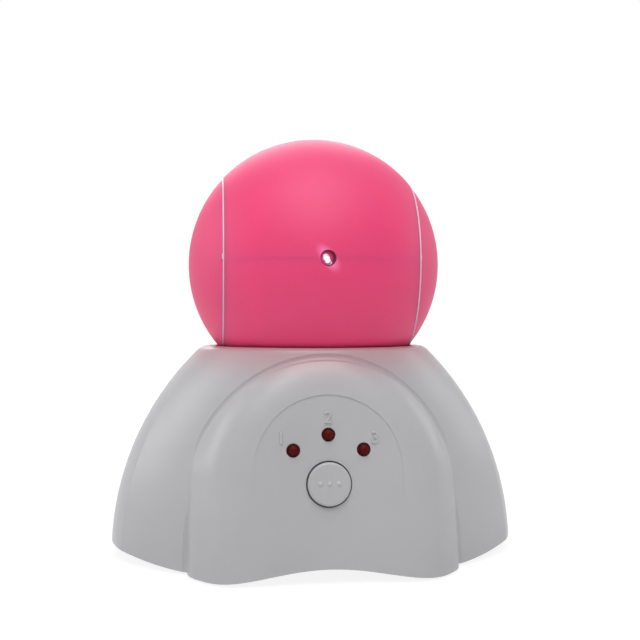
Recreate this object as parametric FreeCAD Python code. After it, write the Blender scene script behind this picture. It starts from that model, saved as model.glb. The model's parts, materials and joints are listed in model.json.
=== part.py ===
import FreeCAD, Part

import math
import os

# Automatic cat laser toy, in millimetres, +Z up, front towards -Y.
# The origin is on the floor, on the upright axis that the ball pans about.
# A ball with a laser in its middle band stands in a low white housing. The band tilts about the
# left-right axis, the whole ball pans about the upright axis, and one button on the front panel
# steps through the modes, which three small lamps show.

Vec = FreeCAD.Vector
X_AXIS, Y_AXIS, Z_AXIS = Vec(1, 0, 0), Vec(0, 1, 0), Vec(0, 0, 1)

# ---------------------------------------------------------------- driving dimensions: housing
BASE_HEIGHT = 54.5          # floor to the flat ring round the ball
BASE_HALF_WIDTH = 53.6      # at the floor
BASE_HALF_DEPTH = 35.65     # at the floor, without the front pad
BASE_SET_BACK = 1.35        # middle of the housing's outline behind the pan axis
SIDE_ARC_RADIUS = 74.4      # arc of the housing's left and right flanks, seen from the front
FRONT_ARC_RADIUS = 238.0    # arc of its front and back, seen from the side
CORNER_ANGLE = 20.5         # where the soft upright ridges lie on the elliptic outline
WALL = 2.2                  # moulded wall of the housing
SHOULDER_RADIUS = 1.2       # rounding of the flat ring's outer edge

RIM_GAP = 0.55              # between the ball and the ring, level with the ring
COLLAR_DEPTH = 5.0          # short tube below the ring that hides the inside
COLLAR_WALL = 1.6

# front pad: a flat leaning panel with a broad round-over, shaped like a tombstone
PANEL_LEAN = 7.0            # degrees back from upright
PANEL_CENTRE_HEIGHT = 26.2  # centre of the panel's round top
PANEL_REACH = 34.0          # panel face in front of the pan axis, at that height
PANEL_FLAT_RADIUS = 14.4    # where the pad starts to fall back
ARCH_RADIUS = 32.7          # arch along which the pad meets the housing
ARCH_DROP = 6.0             # its centre below the panel's centre
LEG_FLARE = 0.07            # the arch's legs spread by this share of their length
PAD_DEPTH = 16.0
PAD_STEP = 3.0              # spacing of the places that the pad's surface passes through
PANEL_EDGE_RADIUS = 17.6    # crisp edge of the slightly sunk panel
PANEL_EDGE_SINK = 0.22

# wavy lower edge of the housing, the same at front and back
LOW_EDGE_X = 28.0           # where the edge comes lowest
SKIRT_GAP = 0.6             # its height above the floor there
FRONT_ARCH = 3.0            # rise between the feet
SIDE_ARCH = 3.2             # rise outside the feet

# ---------------------------------------------------------------- driving dimensions: ball
BALL_RADIUS = 33.5
BALL_RISE = 21.4            # ball centre above the flat ring
BALL_WALL = 1.6
BAND_HALF = 23.7            # half-width of the tilting middle band
SEAM_GAP = 0.3              # running gap between band and cheek
CHEEK_RIM = 0.6             # white rim that shows in the seam
CHEEK_DROP = 0.3            # rim below the ball's surface
CHEEK_BODY = 2.0            # thickness of the cheek behind its rim
CAP_INSET = 0.1             # caps a hair smaller than the band
LASER_HOLE = 4.0            # bore of the laser window
NOTCH_SIZE = 1.0            # key notch of each cap, level with the laser

TILT_DOWN = 20.0            # degrees; the record gives the same range
TILT_UP = 10.0
PAN_EACH_WAY = 90.0
NECK_RADIUS = 6.5
NECK_BORE = 4.0
SLOT_CLEARANCE = 1.0

# ---------------------------------------------------------------- driving dimensions: gears
PRESSURE_ANGLE = 25.0
BACKLASH = 0.14             # taken off each tooth's thickness, shared by its two flanks
PAN_MODULE = 0.8
TURNTABLE_TEETH = 48
REDUCTION_SMALL_TEETH = 12
MOTOR_MODULE = 0.6
REDUCTION_LARGE_TEETH = 40
PAN_PINION_TEETH = 10
TILT_MODULE = 0.8
SECTOR_TEETH = 30           # of the full circle that the sector is cut from
TILT_PINION_TEETH = 10
CENTRE_SLACK = 0.05         # added to each centre distance

DECK_TOP = 33.0             # plate that carries the gears
DECK_THICKNESS = 2.0
HUB_RADIUS = 9.0            # turntable journal
HUB_FLANGE = 10.6
GEAR_GAP = 0.7              # between gears that pass over each other
REDUCTION_LARGE_FACE = 2.5
TURNTABLE_FACE = 3.5
SHAFT_RADIUS = 1.0
RUNNING = 0.05              # radial clearance of a shaft that turns
SEATED = 0.02               # radial clearance of a pin that is held
MOTOR_RADIUS = 7.75
MOTOR_HALF_FLAT = 6.0
MOTOR_LENGTH = 19.0
MOTOR_X = 37.0              # pan motor's axis, straight to the right of the pan axis
TILT_MOTOR_RADIUS = 5.0
TILT_MOTOR_LENGTH = 15.0
TILT_PINION_FACE = 3.0
TILT_PINION_X = 14.5
TILT_PINION_ANGLE = -45.0   # below and behind the tilt axis

# ---------------------------------------------------------------- driving dimensions: inside
PLATE_BOTTOM = 4.2
PLATE_THICKNESS = 1.8
PLATE_CLEARANCE = 0.3
CELL_RADIUS = 7.25          # AA cells
CELL_LENGTH = 50.5
CELL_COUNT = 3
CELL_PITCH = 14.9
BOX_WALL = 1.2
DOOR_CLEARANCE = 0.35
PAD_RADIUS = 3.0            # rubber feet
PAD_HEIGHT = 1.6
FOOT_POST_RADIUS = 3.4
FOOT_Y = 18.8

LED_RADIUS = 1.5
LED_HOLE = 1.65
LED_PROUD = 1.0
LED_ARC = 11.5              # lamps round the button
LED_SPREAD = 46.5           # degrees between lamps
BUTTON_RADIUS = 5.1
BUTTON_GAP = 0.35
BUTTON_PROUD = 1.2
BUTTON_DROP = 3.3           # button's centre below the panel's centre
BUTTON_TRAVEL = 0.5
BOARD_DEPTH = 8.0           # front of the control board behind the panel's face
BOARD_THICKNESS = 1.6
SCREW_RADIUS = 1.0
SCREW_HEAD_RADIUS = 2.1
SCREW_HEAD_HEIGHT = 1.2

# ---------------------------------------------------------------- sizes that follow
BALL_Z = BASE_HEIGHT + BALL_RISE
RIM_RADIUS = math.sqrt(BALL_RADIUS ** 2 - BALL_RISE ** 2) + RIM_GAP
CHEEK_X = BAND_HALF + SEAM_GAP
CAP_X = CHEEK_X + CHEEK_RIM
SEAM_RADIUS = math.sqrt(BALL_RADIUS ** 2 - CHEEK_X ** 2)
CAP_RADIUS = BALL_RADIUS - CAP_INSET
CHEEK_BODY_RADIUS = math.sqrt((CAP_RADIUS - BALL_WALL) ** 2 - (CHEEK_X + CHEEK_BODY) ** 2) - 0.3
DECK_BOTTOM = DECK_TOP - DECK_THICKNESS
LARGE_GEAR_BOTTOM = DECK_TOP + GEAR_GAP
TURNTABLE_BOTTOM = LARGE_GEAR_BOTTOM + REDUCTION_LARGE_FACE + GEAR_GAP
TURNTABLE_TOP = TURNTABLE_BOTTOM + TURNTABLE_FACE
PLATE_TOP = PLATE_BOTTOM + PLATE_THICKNESS
CELL_Z = PLATE_TOP + CELL_RADIUS + 0.25
BOX_HALF_X = CELL_LENGTH / 2 + 2.2
BOX_HALF_Y = (CELL_COUNT - 1) / 2 * CELL_PITCH + CELL_RADIUS + 0.6
BOX_ROOF = CELL_Z + CELL_RADIUS + 0.5
BUTTON_CENTRE = (0.0, -BUTTON_DROP)


def pitch_radius(module, teeth):
    return module * teeth / 2


PAN_CENTRES = pitch_radius(PAN_MODULE, TURNTABLE_TEETH + REDUCTION_SMALL_TEETH) + CENTRE_SLACK
MOTOR_CENTRES = pitch_radius(MOTOR_MODULE, REDUCTION_LARGE_TEETH + PAN_PINION_TEETH) + CENTRE_SLACK
TILT_CENTRES = pitch_radius(TILT_MODULE, SECTOR_TEETH + TILT_PINION_TEETH) + CENTRE_SLACK

# the reduction gear stands where both centre distances meet
REDUCTION_ANGLE = math.degrees(math.acos(
    (PAN_CENTRES ** 2 + MOTOR_X ** 2 - MOTOR_CENTRES ** 2) / (2 * PAN_CENTRES * MOTOR_X)))
REDUCTION_X = PAN_CENTRES * math.cos(math.radians(REDUCTION_ANGLE))
REDUCTION_Y = PAN_CENTRES * math.sin(math.radians(REDUCTION_ANGLE))


# ---------------------------------------------------------------- helpers
def rod(radius, length, base, axis=Z_AXIS):
    return Part.makeCylinder(radius, length, Vec(*base), axis)


def tube(outer, inner, length, base, axis=Z_AXIS):
    return rod(outer, length, base, axis).cut(rod(inner, length, base, axis))


def block(low, high):
    low, high = Vec(*low), Vec(*high)
    size = high - low
    return Part.makeBox(size.x, size.y, size.z, low)


def polygon_face(points):
    return Part.Face(Part.makePolygon([Vec(*p) for p in points] + [Vec(*points[0])]))


def slab(low, high, reach=200.0):
    """Everything between two heights."""
    return block((-reach, -reach, low), (reach, reach, high))


def mirrored_x(shape):
    return shape.mirror(Vec(0, 0, 0), X_AXIS)


def moved(shape, offset):
    copy = shape.copy()
    copy.translate(Vec(*offset))
    return copy


def turned(shape, centre, axis, degrees):
    copy = shape.copy()
    copy.rotate(Vec(*centre), axis, degrees)
    return copy


def fuse_all(shapes):
    first, rest = shapes[0], shapes[1:]
    return first.fuse(rest).removeSplitter() if rest else first


def to_panel(shape):
    """Places a shape made in panel axes: x to the right, y up the panel, z out of it."""
    copy = shape.copy()
    copy.Placement = FreeCAD.Placement(
        Vec(0, -PANEL_REACH, PANEL_CENTRE_HEIGHT),
        FreeCAD.Rotation(X_AXIS, 90 - PANEL_LEAN)).multiply(copy.Placement)
    return copy


def to_ball(shape):
    """Places a shape made round the ball's centre."""
    return moved(shape, (0, 0, BALL_Z))


def screw(length):
    """A round-head screw, head on top at z = 0, shank down."""
    head = Part.makeCylinder(SCREW_HEAD_RADIUS, SCREW_HEAD_HEIGHT, Vec(0, 0, 0))
    head = head.makeFillet(SCREW_HEAD_HEIGHT * 0.45, [head.Edges[0]])
    slots = [block((-0.3, -1.3, SCREW_HEAD_HEIGHT * 0.5), (0.3, 1.3, 5))]
    slots.append(turned(slots[0], (0, 0, 0), Z_AXIS, 90))
    shank = Part.makeCylinder(SCREW_RADIUS, length, Vec(0, 0, -length))
    return head.fuse(shank).cut(slots)


def screws_at(places, length, upward=False):
    """Identical screws as separate solids of one shape; upward ones are driven from below."""
    one = screw(length)
    if upward:
        one = turned(one, (0, 0, 0), X_AXIS, 180)
    return Part.makeCompound([moved(one, place) for place in places])


def gear(module, teeth, face, base_z=0.0, turn=0.0, flank_points=4):
    """An involute spur gear about +Z with a tooth centred at the angle turn."""
    pressure = math.radians(PRESSURE_ANGLE)
    pitch = pitch_radius(module, teeth)
    base = pitch * math.cos(pressure)
    tip = pitch + 0.9 * module
    root = pitch - 1.2 * module

    def involute(angle):
        return math.tan(angle) - angle

    half_tooth = math.pi / teeth / 2 - BACKLASH / 2 / pitch
    start = max(base, root)
    flank = []
    for i in range(flank_points):
        radius = start + (tip - start) * i / (flank_points - 1)
        spread = half_tooth + involute(pressure) - involute(math.acos(min(1.0, base / radius)))
        flank.append((radius, spread))
    if root < base:
        flank.insert(0, (root, flank[0][1]))
    points = []
    for tooth in range(teeth):
        middle = math.radians(turn) + 2 * math.pi * tooth / teeth
        outline = [(r, middle - s) for r, s in flank] + [(r, middle + s) for r, s in reversed(flank)]
        points += [(r * math.cos(a), r * math.sin(a), base_z) for r, a in outline]
    return polygon_face(points).extrude(Vec(0, 0, face))


# ---------------------------------------------------------------- housing form
def arc_profile(foot_half, radius, height):
    """Half-size at a height, on an arc that stands upright at the floor."""
    return foot_half - radius + math.sqrt(radius ** 2 - height ** 2)


def outline(half_width, half_depth, height):
    """Four arcs through an ellipse's points, which meet in four soft corners."""
    corner = math.radians(CORNER_ANGLE)
    cx, cy = half_width * math.cos(corner), half_depth * math.sin(corner)
    stops = [(-cx, -cy), (0, -half_depth), (cx, -cy), (half_width, 0),
             (cx, cy), (0, half_depth), (-cx, cy), (-half_width, 0), (-cx, -cy)]
    points = [Vec(x, y + BASE_SET_BACK, height) for x, y in stops]
    arcs = [Part.Arc(*points[i:i + 3]).toShape() for i in range(0, 8, 2)]
    return Part.Wire(arcs)


def section(height, inset):
    """Outline of the housing at a height, inset all round."""
    return outline(arc_profile(BASE_HALF_WIDTH, SIDE_ARC_RADIUS, height) - inset,
                   arc_profile(BASE_HALF_DEPTH, FRONT_ARC_RADIUS, height) - inset, height)


def dome(inset):
    """The housing's main form, inset all round and at the top, with its rounded shoulder."""
    rounding = max(SHOULDER_RADIUS - inset, 0)
    side_top = BASE_HEIGHT - inset - rounding
    levels = [0.0, 0.25, 0.5, 0.72, 0.88, 1.0]
    form = Part.makeLoft([section(side_top * share, inset) for share in levels], True, False)
    if rounding:
        turns = [math.radians(15 * step) for step in range(7)]
        rings = [section(side_top + rounding * math.sin(turn), inset + rounding * (1 - math.cos(turn)))
                 for turn in turns]
        form = form.fuse(Part.makeLoft(rings, True, True))
    return form


def front_of_dome(x, height):
    """How far forward the housing's main form comes at a place across it and a height."""
    corner = math.radians(CORNER_ANGLE)
    half_depth = arc_profile(BASE_HALF_DEPTH, FRONT_ARC_RADIUS, height)
    chord = arc_profile(BASE_HALF_WIDTH, SIDE_ARC_RADIUS, height) * math.cos(corner)
    bulge = half_depth * (1 - math.sin(corner))
    radius = (chord ** 2 + bulge ** 2) / (2 * bulge)
    return BASE_SET_BACK - half_depth + radius - math.sqrt(radius ** 2 - min(abs(x), chord) ** 2)


def dome_below_panel(x, y):
    """Depth of the housing's main form behind a place on the panel, along the panel's own axis."""
    lean = math.radians(PANEL_LEAN)
    depth = 0.0
    for _ in range(6):
        forward = -PANEL_REACH + y * math.sin(lean) - depth * math.cos(lean)
        height = PANEL_CENTRE_HEIGHT + y * math.cos(lean) + depth * math.sin(lean)
        depth += (forward - front_of_dome(x, height)) / math.cos(lean)
    return depth


def pad_share(x, y, inset):
    """0 on the panel's flat, 1 on the arch where the pad meets the housing, a little more outside it."""
    if y > 0:
        out = math.hypot(x, y)
        up, across = y / out, x / out
        arch = math.sqrt(ARCH_RADIUS ** 2 - (ARCH_DROP * across) ** 2) - ARCH_DROP * up
    else:
        out = abs(x)
        arch = math.sqrt(ARCH_RADIUS ** 2 - ARCH_DROP ** 2) - LEG_FLARE * y
    return min(max((out - PANEL_FLAT_RADIUS) / (arch - inset - PANEL_FLAT_RADIUS), 0), 1.15)


def pad(inset):
    """The front pad: a flat panel that falls back to the housing along a round arch."""
    columns = round((ARCH_RADIUS + PAD_STEP) / PAD_STEP)
    rows = round((PANEL_CENTRE_HEIGHT + PAD_STEP) / PAD_STEP)
    xs = [PAD_STEP * i for i in range(-columns, columns + 1)]
    ys = [PAD_STEP * i for i in range(-rows, rows + 1)]
    front = Part.BSplineSurface()
    front.interpolate([[Vec(x, y, dome_below_panel(x, y) * pad_share(x, y, inset) ** 3 - inset)
                        for y in ys] for x in xs])
    whole = front.toShape().extrude(Vec(0, 0, -PAD_DEPTH))
    reach = ARCH_RADIUS + PAD_STEP / 2
    arch = rod(reach, 80, (0, -ARCH_DROP, -50)).fuse(block((-reach, -50, -50), (reach, -ARCH_DROP, 30)))
    return to_panel(whole.common(arch)).common(slab(0, BASE_HEIGHT - max(inset, SHOULDER_RADIUS)))


def body_volume(inset):
    return dome(inset).fuse(pad(inset)).removeSplitter()


def wave_height(x):
    """Height of the housing's lower edge at a distance x from the middle."""
    x = abs(x)
    if x <= LOW_EDGE_X:
        return SKIRT_GAP + FRONT_ARCH * (1 + math.cos(math.pi * x / LOW_EDGE_X)) / 2
    outside = (x - LOW_EDGE_X) / (BASE_HALF_WIDTH - LOW_EDGE_X)
    return SKIRT_GAP + SIDE_ARCH * (1 - math.cos(math.pi * outside / 2))


def below_wave():
    """Everything under the wavy lower edge."""
    reach = BASE_HALF_WIDTH + 4
    steps = 20
    xs = [-reach + 2 * reach * i / steps for i in range(steps + 1)]
    edge = Part.BSplineCurve()
    edge.interpolate([Vec(x, -60, wave_height(x)) for x in xs])
    left, right = Vec(-reach, -60, -10), Vec(reach, -60, -10)
    left_end, right_end = Vec(-reach, -60, wave_height(reach)), Vec(reach, -60, wave_height(reach))
    wire = Part.Wire([edge.toShape(), Part.LineSegment(right_end, right).toShape(),
                      Part.LineSegment(right, left).toShape(), Part.LineSegment(left, left_end).toShape()])
    return Part.Face(wire).extrude(Vec(0, 120, 0))


CASE_BOSSES = [(sx * 37.5, sy * 16.5) for sx in (-1, 1) for sy in (-1, 1)]
DECK_POSTS = [(-30.0, -14.0), (-30.0, 14.0), (30.0, -14.0), (13.0, 24.0)]
BOARD_BOSSES = [(-14.5, 9.0), (14.5, 9.0), (-14.5, -11.0), (14.5, -11.0)]
BOSS_RADIUS = 3.2
PILOT = SCREW_RADIUS + SEATED  # hole that a self-tapping screw bites in
SCREW_CLEARANCE_RADIUS = SCREW_RADIUS + 0.15


def led_places():
    bx, by = BUTTON_CENTRE
    for step in (-1, 0, 1):
        angle = math.radians(LED_SPREAD * step)
        yield bx + LED_ARC * math.sin(angle), by + LED_ARC * math.cos(angle)


def base_shell():
    outer = body_volume(0)
    inner = body_volume(WALL)
    shell = outer.cut(inner)
    collar = rod(RIM_RADIUS + COLLAR_WALL, COLLAR_DEPTH, (0, 0, BASE_HEIGHT - COLLAR_DEPTH))
    bosses = []
    for x, y in CASE_BOSSES:
        bosses.append(rod(BOSS_RADIUS, BASE_HEIGHT, (x, y, PLATE_TOP)))
    for x, y in DECK_POSTS:
        bosses.append(rod(BOSS_RADIUS, BASE_HEIGHT, (x, y, DECK_TOP)))
    bosses = [b.common(dome(WALL / 2)) for b in bosses]
    pillar_length = BOARD_DEPTH - WALL / 2
    pillars = [to_panel(rod(2.4, pillar_length, (x, y, -BOARD_DEPTH))) for x, y in BOARD_BOSSES]
    shell = fuse_all([shell, collar.common(outer)] + bosses + pillars)
    cuts = [rod(RIM_RADIUS, BASE_HEIGHT, (0, 0, BASE_HEIGHT - COLLAR_DEPTH - 8)), below_wave()]
    cuts += [rod(PILOT, 12, (x, y, PLATE_TOP)) for x, y in CASE_BOSSES]
    cuts += [rod(PILOT, 6, (x, y, DECK_TOP)) for x, y in DECK_POSTS]
    cuts += [to_panel(rod(PILOT, pillar_length - 0.8, (x, y, -BOARD_DEPTH))) for x, y in BOARD_BOSSES]
    cuts += [to_panel(rod(LED_HOLE, 10, (x, y, -5))) for x, y in led_places()]
    cuts.append(to_panel(rod(BUTTON_RADIUS + BUTTON_GAP, 10, BUTTON_CENTRE + (-5,))))
    sink_turn = math.degrees(math.atan2(PANEL_EDGE_SINK, PANEL_EDGE_RADIUS + PANEL_CENTRE_HEIGHT))
    above = block((-40, -40, 0), (40, 40, 10))
    above = turned(above, (0, -PANEL_CENTRE_HEIGHT, 0), X_AXIS, -sink_turn)
    face = rod(PANEL_EDGE_RADIUS, 10, (0, 0, -5)).fuse(
        block((-PANEL_EDGE_RADIUS, -40, -5), (PANEL_EDGE_RADIUS, 0, 5)))
    cuts.append(to_panel(face.common(above)))
    return shell.cut(cuts)


# ---------------------------------------------------------------- bottom, cells, feet
DOOR_HALF_X = BOX_HALF_X - 1.0
DOOR_HALF_Y = BOX_HALF_Y - 1.0
FOOT_X = DOOR_HALF_X + DOOR_CLEARANCE + FOOT_POST_RADIUS + 0.6
FOOT_PLACES = [(sx * FOOT_X, sy * FOOT_Y) for sx in (-1, 1) for sy in (-1, 1)]
DOOR_SCREW_Y = DOOR_HALF_Y + 4.5
DOOR_TAB_HALF = 5.0


def door_outline(grow, low, high):
    """The door's plate with the round lug that takes its screw."""
    half_x, half_y = DOOR_HALF_X + grow, DOOR_HALF_Y + grow
    plate = block((-half_x, -half_y, low), (half_x, half_y, high))
    lug = rod(DOOR_TAB_HALF + grow, high - low, (0, DOOR_SCREW_Y - 1, low))
    return plate.fuse(lug).removeSplitter()


def base_plate():
    plate = body_volume(WALL + PLATE_CLEARANCE).common(slab(PLATE_BOTTOM, PLATE_TOP))
    box = block((-BOX_HALF_X - BOX_WALL, -BOX_HALF_Y - BOX_WALL, PLATE_BOTTOM),
                (BOX_HALF_X + BOX_WALL, BOX_HALF_Y + BOX_WALL, BOX_ROOF + BOX_WALL))
    well = block((-BOX_HALF_X, -BOX_HALF_Y, PLATE_TOP), (BOX_HALF_X, BOX_HALF_Y, BOX_ROOF))
    posts = [rod(FOOT_POST_RADIUS, PLATE_BOTTOM - PAD_HEIGHT + 0.4, (x, y, PAD_HEIGHT - 0.4))
             for x, y in FOOT_PLACES]
    lug_boss = rod(DOOR_TAB_HALF + 1.2, 7, (0, DOOR_SCREW_Y - 1, PLATE_BOTTOM))
    lug_boss = lug_boss.common(body_volume(WALL + PLATE_CLEARANCE))
    plate = fuse_all([plate, box, lug_boss] + posts)
    cuts = [well, door_outline(DOOR_CLEARANCE, PLATE_BOTTOM - 5, PLATE_TOP + 0.01)]
    cuts += [rod(PAD_RADIUS + SEATED, 0.4, (x, y, PAD_HEIGHT - 0.4)) for x, y in FOOT_PLACES]
    cuts += [rod(SCREW_CLEARANCE_RADIUS, 10, (x, y, PLATE_BOTTOM - 1)) for x, y in CASE_BOSSES]
    cuts.append(rod(PILOT, 4.2, (0, DOOR_SCREW_Y, PLATE_TOP)))
    return plate.cut(cuts)


def battery_door():
    door = door_outline(0, PLATE_BOTTOM, PLATE_TOP)
    ribs = [block((-DOOR_HALF_X + 8, y - 0.5, PLATE_BOTTOM), (DOOR_HALF_X - 8, y + 0.5, PLATE_BOTTOM + 0.6))
            for y in (-CELL_PITCH / 2, CELL_PITCH / 2)]
    recess = rod(SCREW_HEAD_RADIUS + 0.2, SCREW_HEAD_HEIGHT + 0.2, (0, DOOR_SCREW_Y, PLATE_BOTTOM))
    hole = rod(SCREW_CLEARANCE_RADIUS, 5, (0, DOOR_SCREW_Y, PLATE_BOTTOM))
    return door.cut(ribs + [recess, hole])


def door_screw():
    head_face = PLATE_BOTTOM + SCREW_HEAD_HEIGHT + 0.2
    return screws_at([(0, DOOR_SCREW_Y, head_face)], 3.5, upward=True).Solids[0]


def cell(index):
    """One AA cell along X; neighbours lie the other way round."""
    y = (index - (CELL_COUNT - 1) / 2) * CELL_PITCH
    facing = 1 if index % 2 == 0 else -1
    nub, nub_radius = 1.0, 2.75
    can = rod(CELL_RADIUS, CELL_LENGTH - nub, (-facing * CELL_LENGTH / 2, y, CELL_Z), Vec(facing, 0, 0))
    tip = rod(nub_radius, nub, (facing * (CELL_LENGTH / 2 - nub), y, CELL_Z), Vec(facing, 0, 0))
    return can.fuse(tip).removeSplitter()


def contact_leaf(index, end):
    """A stamped contact: flat plate on the box's wall, and on the minus side a folded tongue."""
    y = (index - (CELL_COUNT - 1) / 2) * CELL_PITCH
    facing = 1 if index % 2 == 0 else -1
    wall, stock = BOX_HALF_X, 0.4
    plate = block((wall - stock, y - 5, CELL_Z - 6), (wall, y + 5, CELL_Z + 6))
    room = BOX_HALF_X - CELL_LENGTH / 2 - stock
    is_minus = facing * end < 0
    if is_minus:
        tip_x = wall - stock - room + 0.05
        tongue = polygon_face([(wall - stock, y - 2, CELL_Z - 5), (tip_x, y - 2, CELL_Z),
                               (wall - stock, y - 2, CELL_Z + 5), (wall - stock, y - 2, CELL_Z + 4.2),
                               (tip_x + 0.45, y - 2, CELL_Z), (wall - stock, y - 2, CELL_Z - 4.2)])
        plate = plate.fuse(tongue.extrude(Vec(0, 4, 0)))
    else:
        plate = plate.fuse(rod(2.2, room - 0.05, (wall - stock, y, CELL_Z), Vec(-1, 0, 0)))
    plate = plate.removeSplitter()
    return plate if end > 0 else mirrored_x(plate)


def contacts(minus):
    leaves = []
    for index in range(CELL_COUNT):
        facing = 1 if index % 2 == 0 else -1
        leaves.append(contact_leaf(index, -facing if minus else facing))
    return Part.makeCompound(leaves)


def rubber_feet():
    feet = []
    for x, y in FOOT_PLACES:
        foot = rod(PAD_RADIUS, PAD_HEIGHT, (x, y, 0))
        feet.append(foot.makeFillet(0.4, [e for e in foot.Edges if e.BoundBox.ZMax < 0.01]))
    return Part.makeCompound(feet)


# ---------------------------------------------------------------- panel pieces
def control_board():
    board = block((-18, -13.5, -BOARD_DEPTH - BOARD_THICKNESS), (18, 13.0, -BOARD_DEPTH))
    holes = [rod(SCREW_CLEARANCE_RADIUS, 5, (x, y, -BOARD_DEPTH - 3)) for x, y in BOARD_BOSSES]
    board = board.cut(holes)
    chip = block((-4, 0, -BOARD_DEPTH - BOARD_THICKNESS - 1.4), (4, 5, -BOARD_DEPTH - BOARD_THICKNESS))
    return to_panel(board.fuse(chip).removeSplitter())


def board_screws():
    one = turned(screw(5.0), (0, 0, 0), X_AXIS, 180)
    seat = -BOARD_DEPTH - BOARD_THICKNESS
    return Part.makeCompound([to_panel(moved(one, (x, y, seat))) for x, y in BOARD_BOSSES])


def led(index):
    """A 3 mm lamp: dome, flange, and two legs down to the board."""
    x, y = list(led_places())[index]
    top, flange_face = LED_PROUD, -3.6
    body = rod(LED_RADIUS, top - LED_RADIUS - flange_face, (x, y, flange_face))
    tip = Part.makeSphere(LED_RADIUS, Vec(x, y, top - LED_RADIUS))
    flange = rod(1.9, 0.9, (x, y, flange_face - 0.9))
    leg = block((-0.25, y - 0.25, -BOARD_DEPTH), (0.25, y + 0.25, flange_face - 0.5))
    legs = [moved(leg, (x + s * 0.9, 0, 0)) for s in (-1, 1)]
    return to_panel(fuse_all([body, tip, flange] + legs))


SWITCH_TOP = -BOARD_DEPTH + 2.6
PLUNGER_TOP = SWITCH_TOP + BUTTON_TRAVEL + 0.6
PLUNGER_SEAT = 0.8
PLUNGER_RADIUS = 1.65


def mode_switch():
    bx, by = BUTTON_CENTRE
    body = block((bx - 3, by - 3, -BOARD_DEPTH), (bx + 3, by + 3, SWITCH_TOP))
    bore = rod(PLUNGER_RADIUS + RUNNING, 5, (bx, by, SWITCH_TOP - PLUNGER_SEAT - BUTTON_TRAVEL - 0.1))
    return to_panel(body.cut(bore))


def switch_plunger():
    bx, by = BUTTON_CENTRE
    low = SWITCH_TOP - PLUNGER_SEAT
    return to_panel(rod(PLUNGER_RADIUS, PLUNGER_TOP - low, (bx, by, low)))


def mode_button():
    bx, by = BUTTON_CENTRE
    flange_top, flange = -WALL - 0.1, 1.0
    cap = rod(BUTTON_RADIUS, BUTTON_PROUD - (flange_top - flange), (bx, by, flange_top - flange))
    cap = cap.makeFillet(0.6, [e for e in cap.Edges if e.BoundBox.ZMin > BUTTON_PROUD - 0.01])
    collar = rod(BUTTON_RADIUS + 1.3, flange, (bx, by, flange_top - flange))
    stem = rod(1.6, flange_top - flange - PLUNGER_TOP, (bx, by, PLUNGER_TOP))
    return to_panel(fuse_all([cap, collar, stem]))


# ---------------------------------------------------------------- pan drive
REDUCTION_PLACE = (REDUCTION_X, REDUCTION_Y)
STOP_RADIUS = 14.2
STOP_POST = 1.5
HUB_BOTTOM = 27.0
BOSS_BOTTOM = HUB_BOTTOM + 0.1
WASHER = 1.4
WASHER_SCREWS = [(-7.7, 0.0), (7.7, 0.0)]
MOTOR_SCREW_SEAT = DECK_TOP - SCREW_HEAD_HEIGHT


def mechanism_deck():
    plate = body_volume(WALL + 1.0).common(slab(DECK_BOTTOM, DECK_TOP))
    plate = plate.common(block((-45, -24, 0), (45, 40, 60)))
    board_room = to_panel(block((-20, -15, -BOARD_DEPTH - BOARD_THICKNESS - 2), (20, 15, 0)))
    boss = rod(HUB_RADIUS + 3.4, DECK_TOP - BOSS_BOTTOM, (0, 0, BOSS_BOTTOM))
    cup_depth = 7.0
    cup = rod(MOTOR_RADIUS + 1.6, cup_depth, (MOTOR_X, 0, DECK_BOTTOM - cup_depth))
    cup = cup.common(body_volume(WALL + 1.0))
    stop = rod(STOP_POST, TURNTABLE_BOTTOM + 2.4 - DECK_TOP, (-STOP_RADIUS, 0, DECK_TOP))
    pin_boss = rod(3.0, 3.0, REDUCTION_PLACE + (DECK_BOTTOM - 3.0,))
    deck = fuse_all([plate.cut(board_room), boss, cup, stop, pin_boss])
    cuts = [rod(HUB_RADIUS + RUNNING, 20, (0, 0, BOSS_BOTTOM - 1)),
            motor_can(0.1, DECK_BOTTOM - MOTOR_LENGTH, DECK_BOTTOM),
            rod(3.2, 10, (MOTOR_X, 0, DECK_BOTTOM - 1)),
            rod(SHAFT_RADIUS + SEATED, 20, REDUCTION_PLACE + (DECK_BOTTOM - 2.5,))]
    cuts += [rod(SCREW_CLEARANCE_RADIUS, 6, (x, y, DECK_BOTTOM - 1)) for x, y in DECK_POSTS]
    cuts += [rod(SCREW_CLEARANCE_RADIUS, 6, place + (DECK_BOTTOM - 1,)) for place in MOTOR_SCREWS]
    cuts += [rod(SCREW_HEAD_RADIUS + 0.15, 6, place + (MOTOR_SCREW_SEAT,)) for place in MOTOR_SCREWS]
    cuts += [rod(BOSS_RADIUS + 0.4, 30, place + (DECK_BOTTOM - 10,)) for place in CASE_BOSSES]
    return deck.cut(cuts)


MOTOR_SCREWS = [(MOTOR_X, -5.6), (MOTOR_X, 5.6)]


def motor_can(grow, low, high):
    """The motor's outline: a round can with two flats."""
    can = rod(MOTOR_RADIUS + grow, high - low, (MOTOR_X, 0, low))
    half_flat = MOTOR_HALF_FLAT + grow
    flats = block((MOTOR_X - half_flat, -20, low), (MOTOR_X + half_flat, 20, high))
    return can.common(flats)


def pan_motor():
    can = motor_can(0, DECK_BOTTOM - MOTOR_LENGTH, DECK_BOTTOM)
    nose = rod(2.9, 1.2, (MOTOR_X, 0, DECK_BOTTOM))
    tail = rod(2.5, 1.0, (MOTOR_X, 0, DECK_BOTTOM - MOTOR_LENGTH - 1.0))
    cuts = [rod(SHAFT_RADIUS + RUNNING, 8.0, (MOTOR_X, 0, DECK_BOTTOM - 5.0))]
    cuts += [rod(SCREW_RADIUS + SEATED, 2.0, place + (DECK_BOTTOM - 2.0,)) for place in MOTOR_SCREWS]
    return fuse_all([can, nose, tail]).cut(cuts)


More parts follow.
